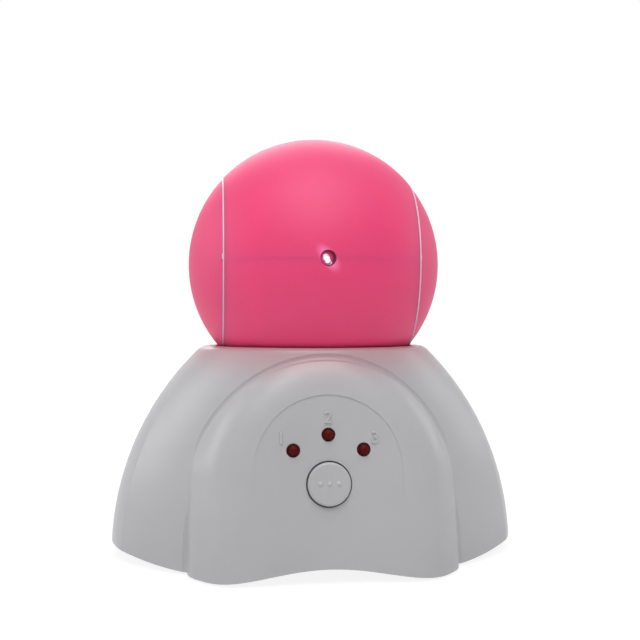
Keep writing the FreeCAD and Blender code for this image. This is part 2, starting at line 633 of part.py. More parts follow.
def pan_motor_shaft():
    return rod(SHAFT_RADIUS, TURNTABLE_BOTTOM - DECK_BOTTOM + 3.0, (MOTOR_X, 0, DECK_BOTTOM - 3.8))


def towards(x_from, y_from, x_to, y_to):
    return math.degrees(math.atan2(y_to - y_from, x_to - x_from))


def pan_pinion():
    to_gear = towards(MOTOR_X, 0, REDUCTION_X, REDUCTION_Y)
    low, face = LARGE_GEAR_BOTTOM - 0.3, REDUCTION_LARGE_FACE + 0.6
    wheel = gear(MOTOR_MODULE, PAN_PINION_TEETH, face, low, to_gear + 180 / PAN_PINION_TEETH)
    wheel = wheel.cut(rod(SHAFT_RADIUS + SEATED, face, (0, 0, low)))
    return moved(wheel, (MOTOR_X, 0, 0))


def reduction_gear():
    to_motor = towards(REDUCTION_X, REDUCTION_Y, MOTOR_X, 0)
    to_axis = towards(REDUCTION_X, REDUCTION_Y, 0, 0)
    large = gear(MOTOR_MODULE, REDUCTION_LARGE_TEETH, REDUCTION_LARGE_FACE, LARGE_GEAR_BOTTOM, to_motor)
    groove = tube(9.6, 6.4, 0.7, (0, 0, LARGE_GEAR_BOTTOM))
    small = gear(PAN_MODULE, REDUCTION_SMALL_TEETH, TURNTABLE_TOP - LARGE_GEAR_BOTTOM, LARGE_GEAR_BOTTOM,
                 to_axis + 180 / REDUCTION_SMALL_TEETH)
    wheel = large.cut(groove).fuse(small)
    wheel = wheel.cut(rod(SHAFT_RADIUS + RUNNING, 20, (0, 0, LARGE_GEAR_BOTTOM - 1)))
    return moved(wheel, REDUCTION_PLACE + (0,))


def gear_pin():
    bottom = DECK_BOTTOM - 2.5
    pin = rod(SHAFT_RADIUS, TURNTABLE_TOP + 1.0 - bottom, REDUCTION_PLACE + (bottom,))
    return pin.makeChamfer(0.2, [e for e in pin.Edges if e.BoundBox.ZMin > TURNTABLE_TOP])


def neck_flat(grow):
    """The side cut off the neck, which keys it in the turntable."""
    return block((-20, NECK_RADIUS - 1.2 + grow, 0), (20, 20, BALL_Z - BALL_RADIUS - 0.6))


def turntable_gear():
    rim = gear(PAN_MODULE, TURNTABLE_TEETH, TURNTABLE_FACE, TURNTABLE_BOTTOM, REDUCTION_ANGLE)
    flange_low = DECK_TOP + 0.1
    flange = rod(HUB_FLANGE, TURNTABLE_TOP - flange_low, (0, 0, flange_low))
    hub = rod(HUB_RADIUS, TURNTABLE_TOP - HUB_BOTTOM, (0, 0, HUB_BOTTOM))
    play = math.degrees(math.asin((STOP_POST + 0.3) / STOP_RADIUS))
    sweep = 2 * (PAN_EACH_WAY + play)
    slot = polygon_face([(STOP_RADIUS - 1.9, 0, 0), (STOP_RADIUS + 1.9, 0, 0),
                         (STOP_RADIUS + 1.9, 0, 20), (STOP_RADIUS - 1.9, 0, 20)])
    slot = moved(slot.revolve(Vec(0, 0, 0), Z_AXIS, sweep), (0, 0, TURNTABLE_BOTTOM - 5))
    slot = turned(slot, (0, 0, 0), Z_AXIS, 180 - sweep / 2)
    bore = rod(NECK_RADIUS + SEATED, 40, (0, 0, HUB_BOTTOM - 1)).cut(neck_flat(SEATED))
    pilots = [rod(PILOT, 4, (x, y, HUB_BOTTOM)) for x, y in WASHER_SCREWS]
    return fuse_all([rim, flange, hub]).cut([slot, bore] + pilots)


def thrust_washer():
    washer = tube(HUB_RADIUS + 2.4, NECK_BORE, WASHER, (0, 0, HUB_BOTTOM - WASHER))
    return washer.cut([rod(SCREW_CLEARANCE_RADIUS, 5, (x, y, HUB_BOTTOM - 3)) for x, y in WASHER_SCREWS])


# ---------------------------------------------------------------- ball: pan body
BAR_TOP, BAR_LOW, BAR_HALF = -13.2, -17.6, 5.0
BAR_MIDDLE = (BAR_TOP + BAR_LOW) / 2
CHEEK_SCREW_SEAT = CHEEK_X + CHEEK_BODY - SCREW_HEAD_HEIGHT
CHEEK_SCREWS = [-2.6, 2.6]
TRUNNION = 3.0


def yoke():
    """Neck, crossbar between the cheeks, and the cradle of the tilt motor."""
    end = CHEEK_X
    bar = block((-end, -BAR_HALF, BAR_LOW), (end, BAR_HALF, BAR_TOP))
    keel = polygon_face([(-16, -BAR_HALF, BAR_LOW), (16, -BAR_HALF, BAR_LOW),
                         (NECK_RADIUS, -BAR_HALF, -27), (-NECK_RADIUS, -BAR_HALF, -27)])
    keel = keel.extrude(Vec(0, 2 * BAR_HALF, 0))
    neck = rod(NECK_RADIUS, BALL_Z + BAR_TOP - HUB_BOTTOM, (0, 0, HUB_BOTTOM - BALL_Z))
    motor_y, motor_z = tilt_pinion_centre()
    cradle = block((-2, BAR_HALF - 1, BAR_LOW), (11, motor_y + TILT_MOTOR_RADIUS + 1.2, motor_z))
    arms = fuse_all([bar, keel, neck, cradle])
    cuts = [rod(NECK_BORE, 60, (0, 0, -60)),
            rod(TILT_MOTOR_RADIUS + 0.05, 60, (-30, motor_y, motor_z), X_AXIS),
            moved(neck_flat(0), (0, 0, -BALL_Z))]
    for side in (-1, 1):
        for y in CHEEK_SCREWS:
            cuts.append(rod(PILOT, 6, (side * end, y, BAR_MIDDLE), Vec(-side, 0, 0)))
    return to_ball(arms.cut(cuts))


def cheek():
    """Right cheek: disc with the white rim, bearing of the tilt axle, and lightening holes."""
    rim = rod(SEAM_RADIUS - CHEEK_DROP, CHEEK_RIM, (CHEEK_X, 0, 0), X_AXIS)
    body = rod(CHEEK_BODY_RADIUS, CHEEK_BODY, (CHEEK_X, 0, 0), X_AXIS)
    hub = rod(TRUNNION + 2.0, CHEEK_BODY + 1.2, (CHEEK_X, 0, 0), X_AXIS)
    cuts = [rod(TRUNNION + RUNNING, 10, (CHEEK_X - 1, 0, 0), X_AXIS)]
    for y in CHEEK_SCREWS:
        cuts.append(rod(SCREW_CLEARANCE_RADIUS, 10, (CHEEK_X - 1, y, BAR_MIDDLE), X_AXIS))
        cuts.append(rod(SCREW_HEAD_RADIUS + 0.15, 10, (CHEEK_SCREW_SEAT, y, BAR_MIDDLE), X_AXIS))
    for angle in (0, 60, 120, 180):
        place = (CHEEK_X - 1, 12.5 * math.cos(math.radians(angle)), 12.5 * math.sin(math.radians(angle)))
        cuts.append(rod(3.6, 10, place, X_AXIS))
    return to_ball(fuse_all([rim, body, hub]).cut(cuts))


def cheek_screws():
    one = turned(screw(5.0), (0, 0, 0), Y_AXIS, 90)
    right = [moved(one, (CHEEK_SCREW_SEAT, y, BALL_Z + BAR_MIDDLE)) for y in CHEEK_SCREWS]
    return Part.makeCompound(right + [mirrored_x(s) for s in right])


def cap():
    """Right cap of the ball: a shell that seats on the cheek's rim."""
    outside = Part.makeSphere(CAP_RADIUS)
    inside = Part.makeSphere(CAP_RADIUS - BALL_WALL)
    keep = block((CAP_X, -50, -50), (50, 50, 50))
    shell = outside.cut(inside).common(keep)
    ring = tube(SEAM_RADIUS, CHEEK_BODY_RADIUS + SEATED, CHEEK_BODY - CHEEK_RIM, (CAP_X, 0, 0), X_AXIS)
    ring = ring.common(Part.makeSphere(CAP_RADIUS - BALL_WALL / 2))
    shell = shell.fuse(ring).removeSplitter()
    notch = block((CAP_X - 1, -50, -NOTCH_SIZE / 2),
                  (CAP_X + NOTCH_SIZE * 0.6, -SEAM_RADIUS + 1.2, NOTCH_SIZE / 2))
    return to_ball(shell.cut(notch))


# ---------------------------------------------------------------- ball: tilting band
PLATE_HALF = 1.2            # carrier plate, clamped where the band's halves meet
WEB_HALF_X = (21.4, 22.9)
WEB_INNER = 20.2
BAND_BOSSES = [(sx * 15.5, sy * 24.5) for sx in (-1, 1) for sy in (-1, 1)]
BAND_BOSS_RADIUS = 3.2
BARREL_RADIUS = 3.5
BARREL_FRONT = -31.0
BARREL_BACK = -9.0
SECTOR_HALF_SWEEP = 34.0


def spread(radius, width):
    """Angle, from the ball's centre, of a half-width on a sphere."""
    return math.degrees(math.asin(width / radius))


def band_ring():
    outside = Part.makeSphere(BALL_RADIUS)
    inside = Part.makeSphere(BALL_RADIUS - BALL_WALL)
    keep = block((-BAND_HALF, -50, -50), (BAND_HALF, 50, 50))
    shell = outside.cut(inside).common(keep)
    webs = []
    for side in (-1, 1):
        near, far = WEB_HALF_X
        web = tube(30, WEB_INNER, far - near, (side * near, 0, 0), Vec(side, 0, 0))
        webs.append(web.common(Part.makeSphere(BALL_RADIUS - BALL_WALL / 2)))
    return fuse_all([shell] + webs)


def neck_slot():
    """Room for the neck over the whole tilt, cut from the band's underside."""
    half_turn = spread(BALL_RADIUS - BALL_WALL, NECK_RADIUS + SLOT_CLEARANCE)
    half_width = NECK_RADIUS + SLOT_CLEARANCE
    wedge = polygon_face([(-half_width, 0, -24), (half_width, 0, -24),
                          (half_width, 0, -40), (-half_width, 0, -40)])
    forward, backward = half_turn + TILT_DOWN, half_turn + TILT_UP
    wedge = turned(wedge, (0, 0, 0), X_AXIS, -forward)
    return wedge.revolve(Vec(0, 0, 0), X_AXIS, forward + backward)


def band_half(upper):
    ring = band_ring()
    bosses = []
    for x, y in BAND_BOSSES:
        low, high = (PLATE_HALF, 40) if upper else (-40, -PLATE_HALF)
        boss = rod(BAND_BOSS_RADIUS, high - low, (x, y, low))
        bosses.append(boss.common(Part.makeSphere(BALL_RADIUS - BALL_WALL / 2)))
    half_space = slab(0, 60) if upper else slab(-60, 0)
    half = fuse_all([ring.common(half_space)] + bosses)
    room_x, room_z = WEB_HALF_X[1] + 0.1, PLATE_HALF + SEATED
    carrier_room = block((-room_x, -29.5, -room_z), (room_x, 29.5, room_z))
    cuts = [rod(LASER_HOLE / 2, 20, (0, -BALL_RADIUS - 5, 0), Y_AXIS),
            carrier_room.common(Part.makeSphere(BALL_RADIUS - BALL_WALL - 0.1))]
    for x, y in BAND_BOSSES:
        hole = rod(PILOT, 8, (x, y, 0)) if upper else rod(SCREW_HEAD_RADIUS + 0.3, 4, (x, y, -4))
        cuts.append(hole)
    if not upper:
        cuts.append(neck_slot())
    return to_ball(half.cut(cuts))


def tilt_pinion_centre():
    angle = math.radians(TILT_PINION_ANGLE)
    return TILT_CENTRES * math.cos(angle), TILT_CENTRES * math.sin(angle)


def across(shape):
    """Turns a shape made about +Z so that its axis is +X, its +X is +Y and its +Y is +Z."""
    copy = shape.copy()
    copy.rotate(Vec(0, 0, 0), Vec(1, 1, 1), 120)
    return copy


def laser_carrier():
    side_in, side_out = 12.6, 18.4
    plate = []
    for side in (-1, 1):
        low, high = sorted((side * side_in, side * side_out))
        plate.append(block((low, -27.3, -PLATE_HALF), (high, 27.3, PLATE_HALF)))
    plate.append(block((-WEB_HALF_X[0] - 1.2, -4.5, -PLATE_HALF), (WEB_HALF_X[0] + 1.2, 4.5, PLATE_HALF)))
    spine = rod(3.6, 2 * (WEB_HALF_X[0] + 1.2), (-WEB_HALF_X[0] - 1.2, 0, 0), X_AXIS)
    axle = rod(TRUNNION, 2 * (CHEEK_X + CHEEK_BODY), (-CHEEK_X - CHEEK_BODY, 0, 0), X_AXIS)
    holder = rod(BARREL_RADIUS + 1.6, 12, (0, -22, 0), Y_AXIS)
    bridge = block((-2.5, -22, -PLATE_HALF), (2.5, 0, PLATE_HALF))
    cross = block((-side_out, -17, -PLATE_HALF), (side_out, -12, PLATE_HALF))
    wheel = across(gear(TILT_MODULE, SECTOR_TEETH, TILT_PINION_FACE, TILT_PINION_X, TILT_PINION_ANGLE))
    corner_x = 20 * math.cos(math.radians(SECTOR_HALF_SWEEP))
    corner_y = 20 * math.sin(math.radians(SECTOR_HALF_SWEEP))
    wedge = polygon_face([(0, 0, 0), (corner_x, -corner_y, 0), (26, 0, 0), (corner_x, corner_y, 0)])
    sector_middle = TILT_PINION_ANGLE - (TILT_DOWN - TILT_UP) / 2
    wedge = turned(wedge.extrude(Vec(0, 0, 40)), (0, 0, 0), Z_AXIS, sector_middle)
    sector = wheel.common(across(wedge))
    inside = Part.makeSphere(BALL_RADIUS - BALL_WALL - 0.3)
    plate = [piece.common(inside) for piece in plate]
    carrier = fuse_all(plate + [spine, axle, holder, bridge, cross, sector])
    cuts = [rod(BARREL_RADIUS + SEATED, BARREL_BACK - BARREL_FRONT, (0, BARREL_FRONT, 0), Y_AXIS)]
    cuts += [rod(SCREW_CLEARANCE_RADIUS, 10, (x, y, -5)) for x, y in BAND_BOSSES]
    return to_ball(carrier.cut(cuts))


def laser_barrel():
    """Brass laser module: a tube with a lipped nose and the seat of its lens."""
    body = rod(BARREL_RADIUS, BARREL_BACK - BARREL_FRONT - 2, (0, BARREL_FRONT + 2, 0), Y_AXIS)
    nose = rod(LASER_HOLE / 2 + 1.0, 2.2, (0, BARREL_FRONT, 0), Y_AXIS)
    bore = rod(LASER_HOLE / 2 - 0.2, 4, (0, BARREL_FRONT - 1, 0), Y_AXIS)
    return to_ball(fuse_all([body, nose]).cut(bore))


def laser_lens():
    radius = LASER_HOLE / 2 - 0.2 - SEATED
    lens = Part.makeSphere(3.4, Vec(0, BARREL_FRONT + 1.0 + 3.4, 0))
    lens = lens.common(rod(radius, 2.0, (0, BARREL_FRONT + 1.0, 0), Y_AXIS))
    return to_ball(lens)


def laser_board():
    board = block((-3.4, BARREL_BACK + 0.05, -2.6), (3.4, BARREL_BACK + 4.0, -1.4))
    return to_ball(board)


def band_screws():
    one = turned(screw(7.5), (0, 0, 0), X_AXIS, 180)
    return Part.makeCompound([to_ball(moved(one, (x, y, -PLATE_HALF))) for x, y in BAND_BOSSES])


def tilt_motor():
    y, z = tilt_pinion_centre()
    back = TILT_PINION_X - 1.2 - TILT_MOTOR_LENGTH
    can = rod(TILT_MOTOR_RADIUS, TILT_MOTOR_LENGTH, (back, y, z), X_AXIS)
    shaft_hole = rod(SHAFT_RADIUS / 2 + RUNNING, 5, (TILT_PINION_X - 5, y, z), X_AXIS)
    return to_ball(can.cut(shaft_hole))


def tilt_motor_shaft():
    y, z = tilt_pinion_centre()
    return to_ball(rod(SHAFT_RADIUS / 2, 8, (TILT_PINION_X - 4.2, y, z), X_AXIS))


def tilt_pinion():
    y, z = tilt_pinion_centre()
    to_sector = TILT_PINION_ANGLE + 180
    half_pitch = 180 / TILT_PINION_TEETH
    wheel = gear(TILT_MODULE, TILT_PINION_TEETH, TILT_PINION_FACE, TILT_PINION_X, to_sector + half_pitch)
    wheel = wheel.cut(rod(SHAFT_RADIUS / 2 + SEATED, 20, (0, 0, TILT_PINION_X - 1)))
    return to_ball(moved(across(wheel), (0, y, z)))


# ---------------------------------------------------------------- all the nodes
right_cheek, right_cap = cheek(), cap()
nodes = {
    "base_shell": base_shell(),
    "base_plate": base_plate(),
    "battery_door": battery_door(),
    "door_screw": door_screw(),
    "case_screws": screws_at([(x, y, PLATE_BOTTOM) for x, y in CASE_BOSSES], 10.0, upward=True),
    "rubber_feet": rubber_feet(),
    "contact_springs": contacts(minus=True),
    "contact_plates": contacts(minus=False),
    "control_board": control_board(),
    "board_screws": board_screws(),
    "mode_switch": mode_switch(),
    "switch_plunger": switch_plunger(),
    "mode_button": mode_button(),
    "mechanism_deck": mechanism_deck(),
    "deck_screws": screws_at([(x, y, DECK_BOTTOM) for x, y in DECK_POSTS], 6.0, upward=True),
    "pan_motor": pan_motor(),
    "motor_screws": screws_at([place + (MOTOR_SCREW_SEAT,) for place in MOTOR_SCREWS], 2.4),
    "pan_motor_shaft": pan_motor_shaft(),
    "pan_pinion": pan_pinion(),
    "gear_pin": gear_pin(),
    "reduction_gear": reduction_gear(),
    "turntable_gear": turntable_gear(),
    "thrust_washer": thrust_washer(),
    "washer_screws": screws_at([(x, y, HUB_BOTTOM - WASHER) for x, y in WASHER_SCREWS], 4.0, upward=True),
    "yoke": yoke(),
    "right_cheek": right_cheek,
    "left_cheek": mirrored_x(right_cheek),
    "cheek_screws": cheek_screws(),
    "right_cap": right_cap,
    "left_cap": mirrored_x(right_cap),
    "band_upper": band_half(upper=True),
    "band_lower": band_half(upper=False),
    "laser_carrier": laser_carrier(),
    "laser_barrel": laser_barrel(),
    "laser_lens": laser_lens(),
    "laser_board": laser_board(),
    "band_screws": band_screws(),
    "tilt_motor": tilt_motor(),
    "tilt_motor_shaft": tilt_motor_shaft(),
    "tilt_pinion": tilt_pinion(),
}
for number in range(CELL_COUNT):
    nodes[f"battery_cell_{number + 1}"] = cell(number)
for number, side in enumerate(("left", "middle", "right")):
    nodes[f"led_{side}"] = led(number)

os.makedirs("parts", exist_ok=True)
for name, shape in nodes.items():
    shape.exportStep(f"parts/{name}.step")
    print(f"{name:18s} solids {len(shape.Solids)}  volume {shape.Volume:9.1f}  valid {shape.isValid()}")
print(f"{len(nodes)} nodes")
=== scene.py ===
# %% [markdown]
# # Cat laser toy: a pink ball with a tilting laser band in a low white housing
# This file dresses the toy's finished CAD frame. It is written as a lesson: each step says what the piece is
# on the real toy, how it could be made in Blender, and why this way was chosen. Everything is in metres, in
# the frame of the CAD model: the floor is z = 0, the front is -Y and the ball pans about the Z axis.

# %% Load the frame
import json
import math

import bmesh
import bpy
import numpy as np
from mathutils import Matrix, Vector
from mathutils.bvhtree import BVHTree


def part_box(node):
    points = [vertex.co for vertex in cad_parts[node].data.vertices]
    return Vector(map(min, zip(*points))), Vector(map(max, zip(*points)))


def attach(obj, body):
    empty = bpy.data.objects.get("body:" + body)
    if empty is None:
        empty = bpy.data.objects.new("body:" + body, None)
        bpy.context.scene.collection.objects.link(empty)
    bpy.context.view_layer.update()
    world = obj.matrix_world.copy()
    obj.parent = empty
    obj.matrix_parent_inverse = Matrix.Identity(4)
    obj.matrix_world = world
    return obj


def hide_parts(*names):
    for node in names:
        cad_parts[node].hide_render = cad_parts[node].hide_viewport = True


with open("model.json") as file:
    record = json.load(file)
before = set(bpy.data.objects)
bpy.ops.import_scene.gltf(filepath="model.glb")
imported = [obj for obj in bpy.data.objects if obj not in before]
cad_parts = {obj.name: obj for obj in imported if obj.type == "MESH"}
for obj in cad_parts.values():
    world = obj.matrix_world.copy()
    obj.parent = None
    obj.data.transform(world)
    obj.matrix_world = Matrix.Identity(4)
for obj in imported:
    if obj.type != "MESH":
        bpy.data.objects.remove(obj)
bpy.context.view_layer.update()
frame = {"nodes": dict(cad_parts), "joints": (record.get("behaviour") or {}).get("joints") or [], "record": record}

joints = {joint["name"]: joint for joint in frame["joints"]}
BALL_CENTRE = Vector(joints["ball_pan"]["pos_m"])


# %% [markdown]
# ## Small helpers
# A colour is written as the sRGB hex value that a colour card gives, and one function turns it to the linear
# values that shaders work in. Another adds a node with its settings and links in one line, so that a
# material reads from top to bottom like a recipe.

# %% Colour and node helpers
def linear(code):
    """A hex colour as linear RGBA, with full cover."""
    values = [int(code[i:i + 2], 16) / 255 for i in (1, 3, 5)]
    return [v / 12.92 if v <= 0.04045 else ((v + 0.055) / 1.055) ** 2.4 for v in values] + [1.0]


def fill(node, inputs):
    """Fills a node's inputs with numbers or links."""
    for name, value in inputs.items():
        socket = node.inputs[name]
        if isinstance(value, bpy.types.NodeSocket):
            node.id_data.links.new(value, socket)
        else:
            socket.default_value = value


def add(tree, kind, inputs=None, **settings):
    """Adds a node, sets its properties, and fills its inputs."""
    node = tree.nodes.new(kind)
    for name, value in settings.items():
        setattr(node, name, value)
    fill(node, inputs or {})
    return node


def shader(name):
    """A new material with its tree, its Principled shader and its object coordinates."""
    material = bpy.data.materials.new(name)
    material.use_nodes = True
    tree = material.node_tree
    surface = tree.nodes["Principled BSDF"]
    place = add(tree, "ShaderNodeTexCoord").outputs["Object"]
    return material, tree, surface, place


def settle(surface, **values):
    """Fills the Principled shader's inputs; underscores stand for spaces."""
    fill(surface, {name.replace("_", " "): value for name, value in values.items()})


def set_stops(ramp, *stops):
    """Gives a colour ramp its stops, from left to right; a new ramp has two."""
    elements = ramp.color_ramp.elements
    for i, (position, code) in enumerate(stops):
        stop = elements[i] if i < 2 else elements.new(position)
        stop.position, stop.color = position, linear(code)


def grain(tree, surface, place, size, depth, detail=2.0):
    """Moulded or rolled texture: bumps of about that size and depth, in metres."""
    noise = add(tree, "ShaderNodeTexNoise", {"Vector": place, "Scale": 1 / size, "Detail": detail})
    bump = add(tree, "ShaderNodeBump", {"Height": noise.outputs["Fac"], "Distance": depth, "Strength": 1.0})
    settle(surface, Normal=bump.outputs["Normal"])


def mottle(tree, surface, place, size, dark, light):
    """A colour that drifts slowly between two close tones, as pigment does in moulded plastic."""
    noise = add(tree, "ShaderNodeTexNoise", {"Vector": place, "Scale": 1 / size, "Detail": 3.0})
    ramp = add(tree, "ShaderNodeValToRGB", {"Fac": noise.outputs["Fac"]})
    set_stops(ramp, (0.3, dark), (0.7, light))
    settle(surface, Base_Color=ramp.outputs["Color"])
    return ramp.outputs["Color"]


# %% [markdown]
# ## Camera
# The toy is looked at from close by, a little to its left, with the eye just above the housing's flat top,
# so that the top shows as a thin line and the ball rises over it. The place is given in real sizes: a
# distance from the pan axis, a height above the floor, and a small step aside, which sets the toy left of
# the middle of the picture. Up close, the front of the housing looks larger against the ball than a distant
# camera would show it.

# %% Camera
CAMERA_AZIMUTH = -6.6     # degrees round the toy
CAMERA_DISTANCE = 0.25    # from the pan axis
CAMERA_HEIGHT = 0.0617    # above the floor
CAMERA_STEP_RIGHT = 0.0018   # of the eye, square to the line of sight
CAMERA_PITCH = -0.107     # degrees; negative looks down
SENSOR_WIDTH = 36.0       # millimetres, as is the lens
CAMERA_LENS = 51.98
NEAR_LIMIT = 0.01         # a picture from so near needs a closer limit than Blender's own

camera_data = bpy.data.cameras.new("camera")
camera = bpy.data.objects.new("camera", camera_data)
bpy.context.scene.collection.objects.link(camera)
bpy.context.scene.camera = camera
camera_data.sensor_width, camera_data.lens = SENSOR_WIDTH, CAMERA_LENS
camera_data.clip_start = NEAR_LIMIT
camera_turn = math.radians(CAMERA_AZIMUTH)
camera_back = Vector((math.sin(camera_turn), -math.cos(camera_turn), 0))
camera_right = Vector((math.cos(camera_turn), math.sin(camera_turn), 0))
camera.location = (camera_back * CAMERA_DISTANCE + camera_right * CAMERA_STEP_RIGHT
                   + Vector((0, 0, CAMERA_HEIGHT)))
camera.rotation_euler = (math.radians(90 + CAMERA_PITCH), 0, camera_turn)


# %% [markdown]
# ## Light, floor and backdrop
# Product pictures of white plastic are lit by large soft boxes from above, so the tops are bright and the
# upright front falls to a light grey. Here one hangs over the toy and a little before it, one leans in from
# the front and one from behind, two smaller ones draw its edges, and a dim world fills the rest. The
# backdrop is white to the rays that show it, from the camera, from a gloss and through glass. It is dim for
# the light that falls on the toy, so it doesn't wash it out.

# %% Lamps and world
TOY_MIDDLE = Vector((0, 0, 0.06))
WORLD_FILL = 0.1


def soft_box(name, power, size, place):
    """A square area lamp of so many watts, aimed at the middle of the toy."""
    lamp = bpy.data.lights.new(name, "AREA")
    lamp.energy, lamp.size = power, size
    holder = bpy.data.objects.new(name, lamp)
    holder.location = place
    holder.rotation_euler = (TOY_MIDDLE - Vector(place)).to_track_quat("-Z", "Y").to_euler()
    bpy.context.scene.collection.objects.link(holder)


def shows_backdrop(tree):
    """One for rays from the camera, from a gloss or through glass; zero for light that falls on things."""
    path = add(tree, "ShaderNodeLightPath")
    shown = path.outputs["Is Camera Ray"]
    for kind in ("Is Glossy Ray", "Is Transmission Ray"):
        either = add(tree, "ShaderNodeMath", {0: shown, 1: path.outputs[kind]}, operation="MAXIMUM")
        shown = either.outputs["Value"]
    return shown


soft_box("top_box", 3.45, 0.6, (-0.03, -0.33, 0.68))
soft_box("front_box", 0.8, 0.6, (0, -0.55, 0.55))
soft_box("back_box", 2.7, 0.5, (0, 0.6, 0.5))
soft_box("left_edge", 1.2, 0.4, (-0.75, 0.1, 0.3))
soft_box("right_edge", 0.6, 0.4, (0.75, 0.2, 0.3))

world = bpy.data.worlds.new("studio")
bpy.context.scene.world = world
world.use_nodes = True
sky = world.node_tree.nodes["Background"]
sky_strength = add(world.node_tree, "ShaderNodeMapRange",
                   {"Value": shows_backdrop(world.node_tree), "To Min": WORLD_FILL, "To Max": 1.0})
fill(sky, {"Color": (1, 1, 1, 1), "Strength": sky_strength.outputs["Result"]})
bpy.context.scene.view_settings.view_transform = "Standard"


# %% [markdown]
# ## White paper floor
# The toy stands on a sheet of white paper. Lit paper alone would fade to grey away from the lamps and show a
# horizon, so the paper glows for the rays that show the backdrop. Near the toy it keeps a share of its lit
# look, and with it the toy's soft shadow. That share fades out over a few hand widths, so no edge shows.

# %% Floor
SHADOW_SHARE = 0.22
SHADOW_NEAR, SHADOW_FAR = 0.09, 0.30      # from the pan axis
PAPER_GLOW = 1.12         # a little over white, to make up for the lit share


def paper(name):
    material, tree, surface, place = shader(name)
    settle(surface, Roughness=0.9, Base_Color=linear("#F4F4F4"))
    grain(tree, surface, place, 0.002, 0.00002)
    glow = add(tree, "ShaderNodeEmission", {"Color": (1, 1, 1, 1), "Strength": PAPER_GLOW})
    reach = add(tree, "ShaderNodeVectorMath", {0: place}, operation="LENGTH")
    plain = add(tree, "ShaderNodeMapRange",
                {"Value": reach.outputs["Value"], "From Min": SHADOW_NEAR, "From Max": SHADOW_FAR,
                 "To Min": 1 - SHADOW_SHARE, "To Max": 1.0}, interpolation_type="SMOOTHSTEP")
    share = add(tree, "ShaderNodeMath", {0: shows_backdrop(tree), 1: plain.outputs["Result"]},
                operation="MULTIPLY")
    mix = add(tree, "ShaderNodeMixShader", {0: share.outputs["Value"], 1: surface.outputs["BSDF"],
                                            2: glow.outputs["Emission"]})
    fill(tree.nodes["Material Output"], {"Surface": mix.outputs["Shader"]})
    return material


def sheet_of_paper(name, reach, height, material):
    """A level square round the pan axis, which is part of the stage and not of the toy."""
    mesh = bpy.data.meshes.new(name)
    corners = [(x * reach, y * reach, height) for x, y in ((-1, -1), (1, -1), (1, 1), (-1, 1))]
    mesh.from_pydata(corners, [], [(0, 1, 2, 3)])
    mesh.materials.append(material)
    sheet = bpy.data.objects.new(name, mesh)
    bpy.context.scene.collection.objects.link(sheet)


ROOM = 3.0            # from the pan axis to the sheet's edge
FLOOR = -0.00002      # a hair under the feet, so that no two faces share a place
sheet_of_paper("floor", ROOM, FLOOR, paper("white paper"))


# %% [markdown]
# ## White ABS of the housing
# The housing is injection-moulded ABS, tooled with a fine spark-eroded texture, which gives a satin sheen
# and no sharp reflections. ABS has an index of refraction of about 1.53. The grain is 0.35 mm wide, a little
# coarser than the real one, so that it shows at all. Under it the tone drifts slowly, over a few
# centimetres. The pieces inside are the same plastic with less polish.

# %% Housing material
SHELL_DRIFT = 0.03        # how far apart the tones of the shells' pigment lie


def moulded_white(name, dark, light, roughness, grain_depth):
    """White ABS, with its parts, so that more can be laid over its tone."""
    material, tree, surface, place = shader(name)
    settle(surface, IOR=1.53, Roughness=roughness)
    tone = mottle(tree, surface, place, SHELL_DRIFT, dark, light)
    grain(tree, surface, place, 0.00035, grain_depth)
    return material, tree, surface, place, tone


housing_white, tree, surface, place, tone = moulded_white("satin moulded ABS white", "#B6B6B9", "#BCBCBF",
                                                          0.34, 0.000012)
frame_white = moulded_white("plain moulded ABS white", "#DAD9DC", "#E4E3E6", 0.45, 0.00001)[0]
# The cheeks' lavender is painted pink light: white plastic tinted with the pink that the shells pass on; the seam
# keys wear it too.
cheek_white_painted_pink_light = moulded_white("moulded ABS white, painted pink light", "#DCC6DA", "#E4D0E2", 0.45, 0.00001)[0]


# %% [markdown]
# ### Pink light on the housing
# The pink ball throws a blush of its own colour on the white plastic round it. Some of that comes from light
# that has gone through the shell, which a render does not follow, so the white is tinted a little within
# about a centimetre of the ball. The tint reads the distance to the ball's surface, so it stays in place
# from any side.

# %% Blush
BLUSH_REACH = 0.013       # from the ball's surface to where the tint ends
BLUSH_TINT = "#C09DA3"
BALL_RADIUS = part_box("band_upper")[1].z - BALL_CENTRE.z
apart = add(tree, "ShaderNodeVectorMath", {0: place, 1: BALL_CENTRE}, operation="DISTANCE")
blush = add(tree, "ShaderNodeMapRange",
            {"Value": apart.outputs["Value"], "From Min": BALL_RADIUS, "From Max": BALL_RADIUS + BLUSH_REACH,
             "To Min": 1.0, "To Max": 0.0}, interpolation_type="SMOOTHERSTEP")
tinted = add(tree, "ShaderNodeMix", {"Factor": blush.outputs["Result"], 6: tone, 7: linear(BLUSH_TINT)},
             data_type="RGBA")
settle(surface, Base_Color=tinted.outputs[2])


# %% [markdown]
# ## Pink ABS of the ball
# The ball's shells are 1.6 mm of pigmented, slightly translucent ABS. Light that enters comes out again a
# few millimetres away, which softens the shading and lights up the rim of the ball. Subsurface scattering
# gives that, with red travelling furthest. The laser lights the shell round its hole from inside, a glow
# that fades over a few millimetres. It is emission, strongest at the hole, in a patch that is longer than
# wide and leans over.

# %% Ball material
LASER_MOUTH = Vector((0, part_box("laser_barrel")[0].y, BALL_CENTRE.z))
HALO_SIZE = (0.0018, 0.02, 0.0038)      # half width, depth and half height of the lit patch
HALO_TILT = math.radians(-38)
HALO_STRENGTH = 0.27


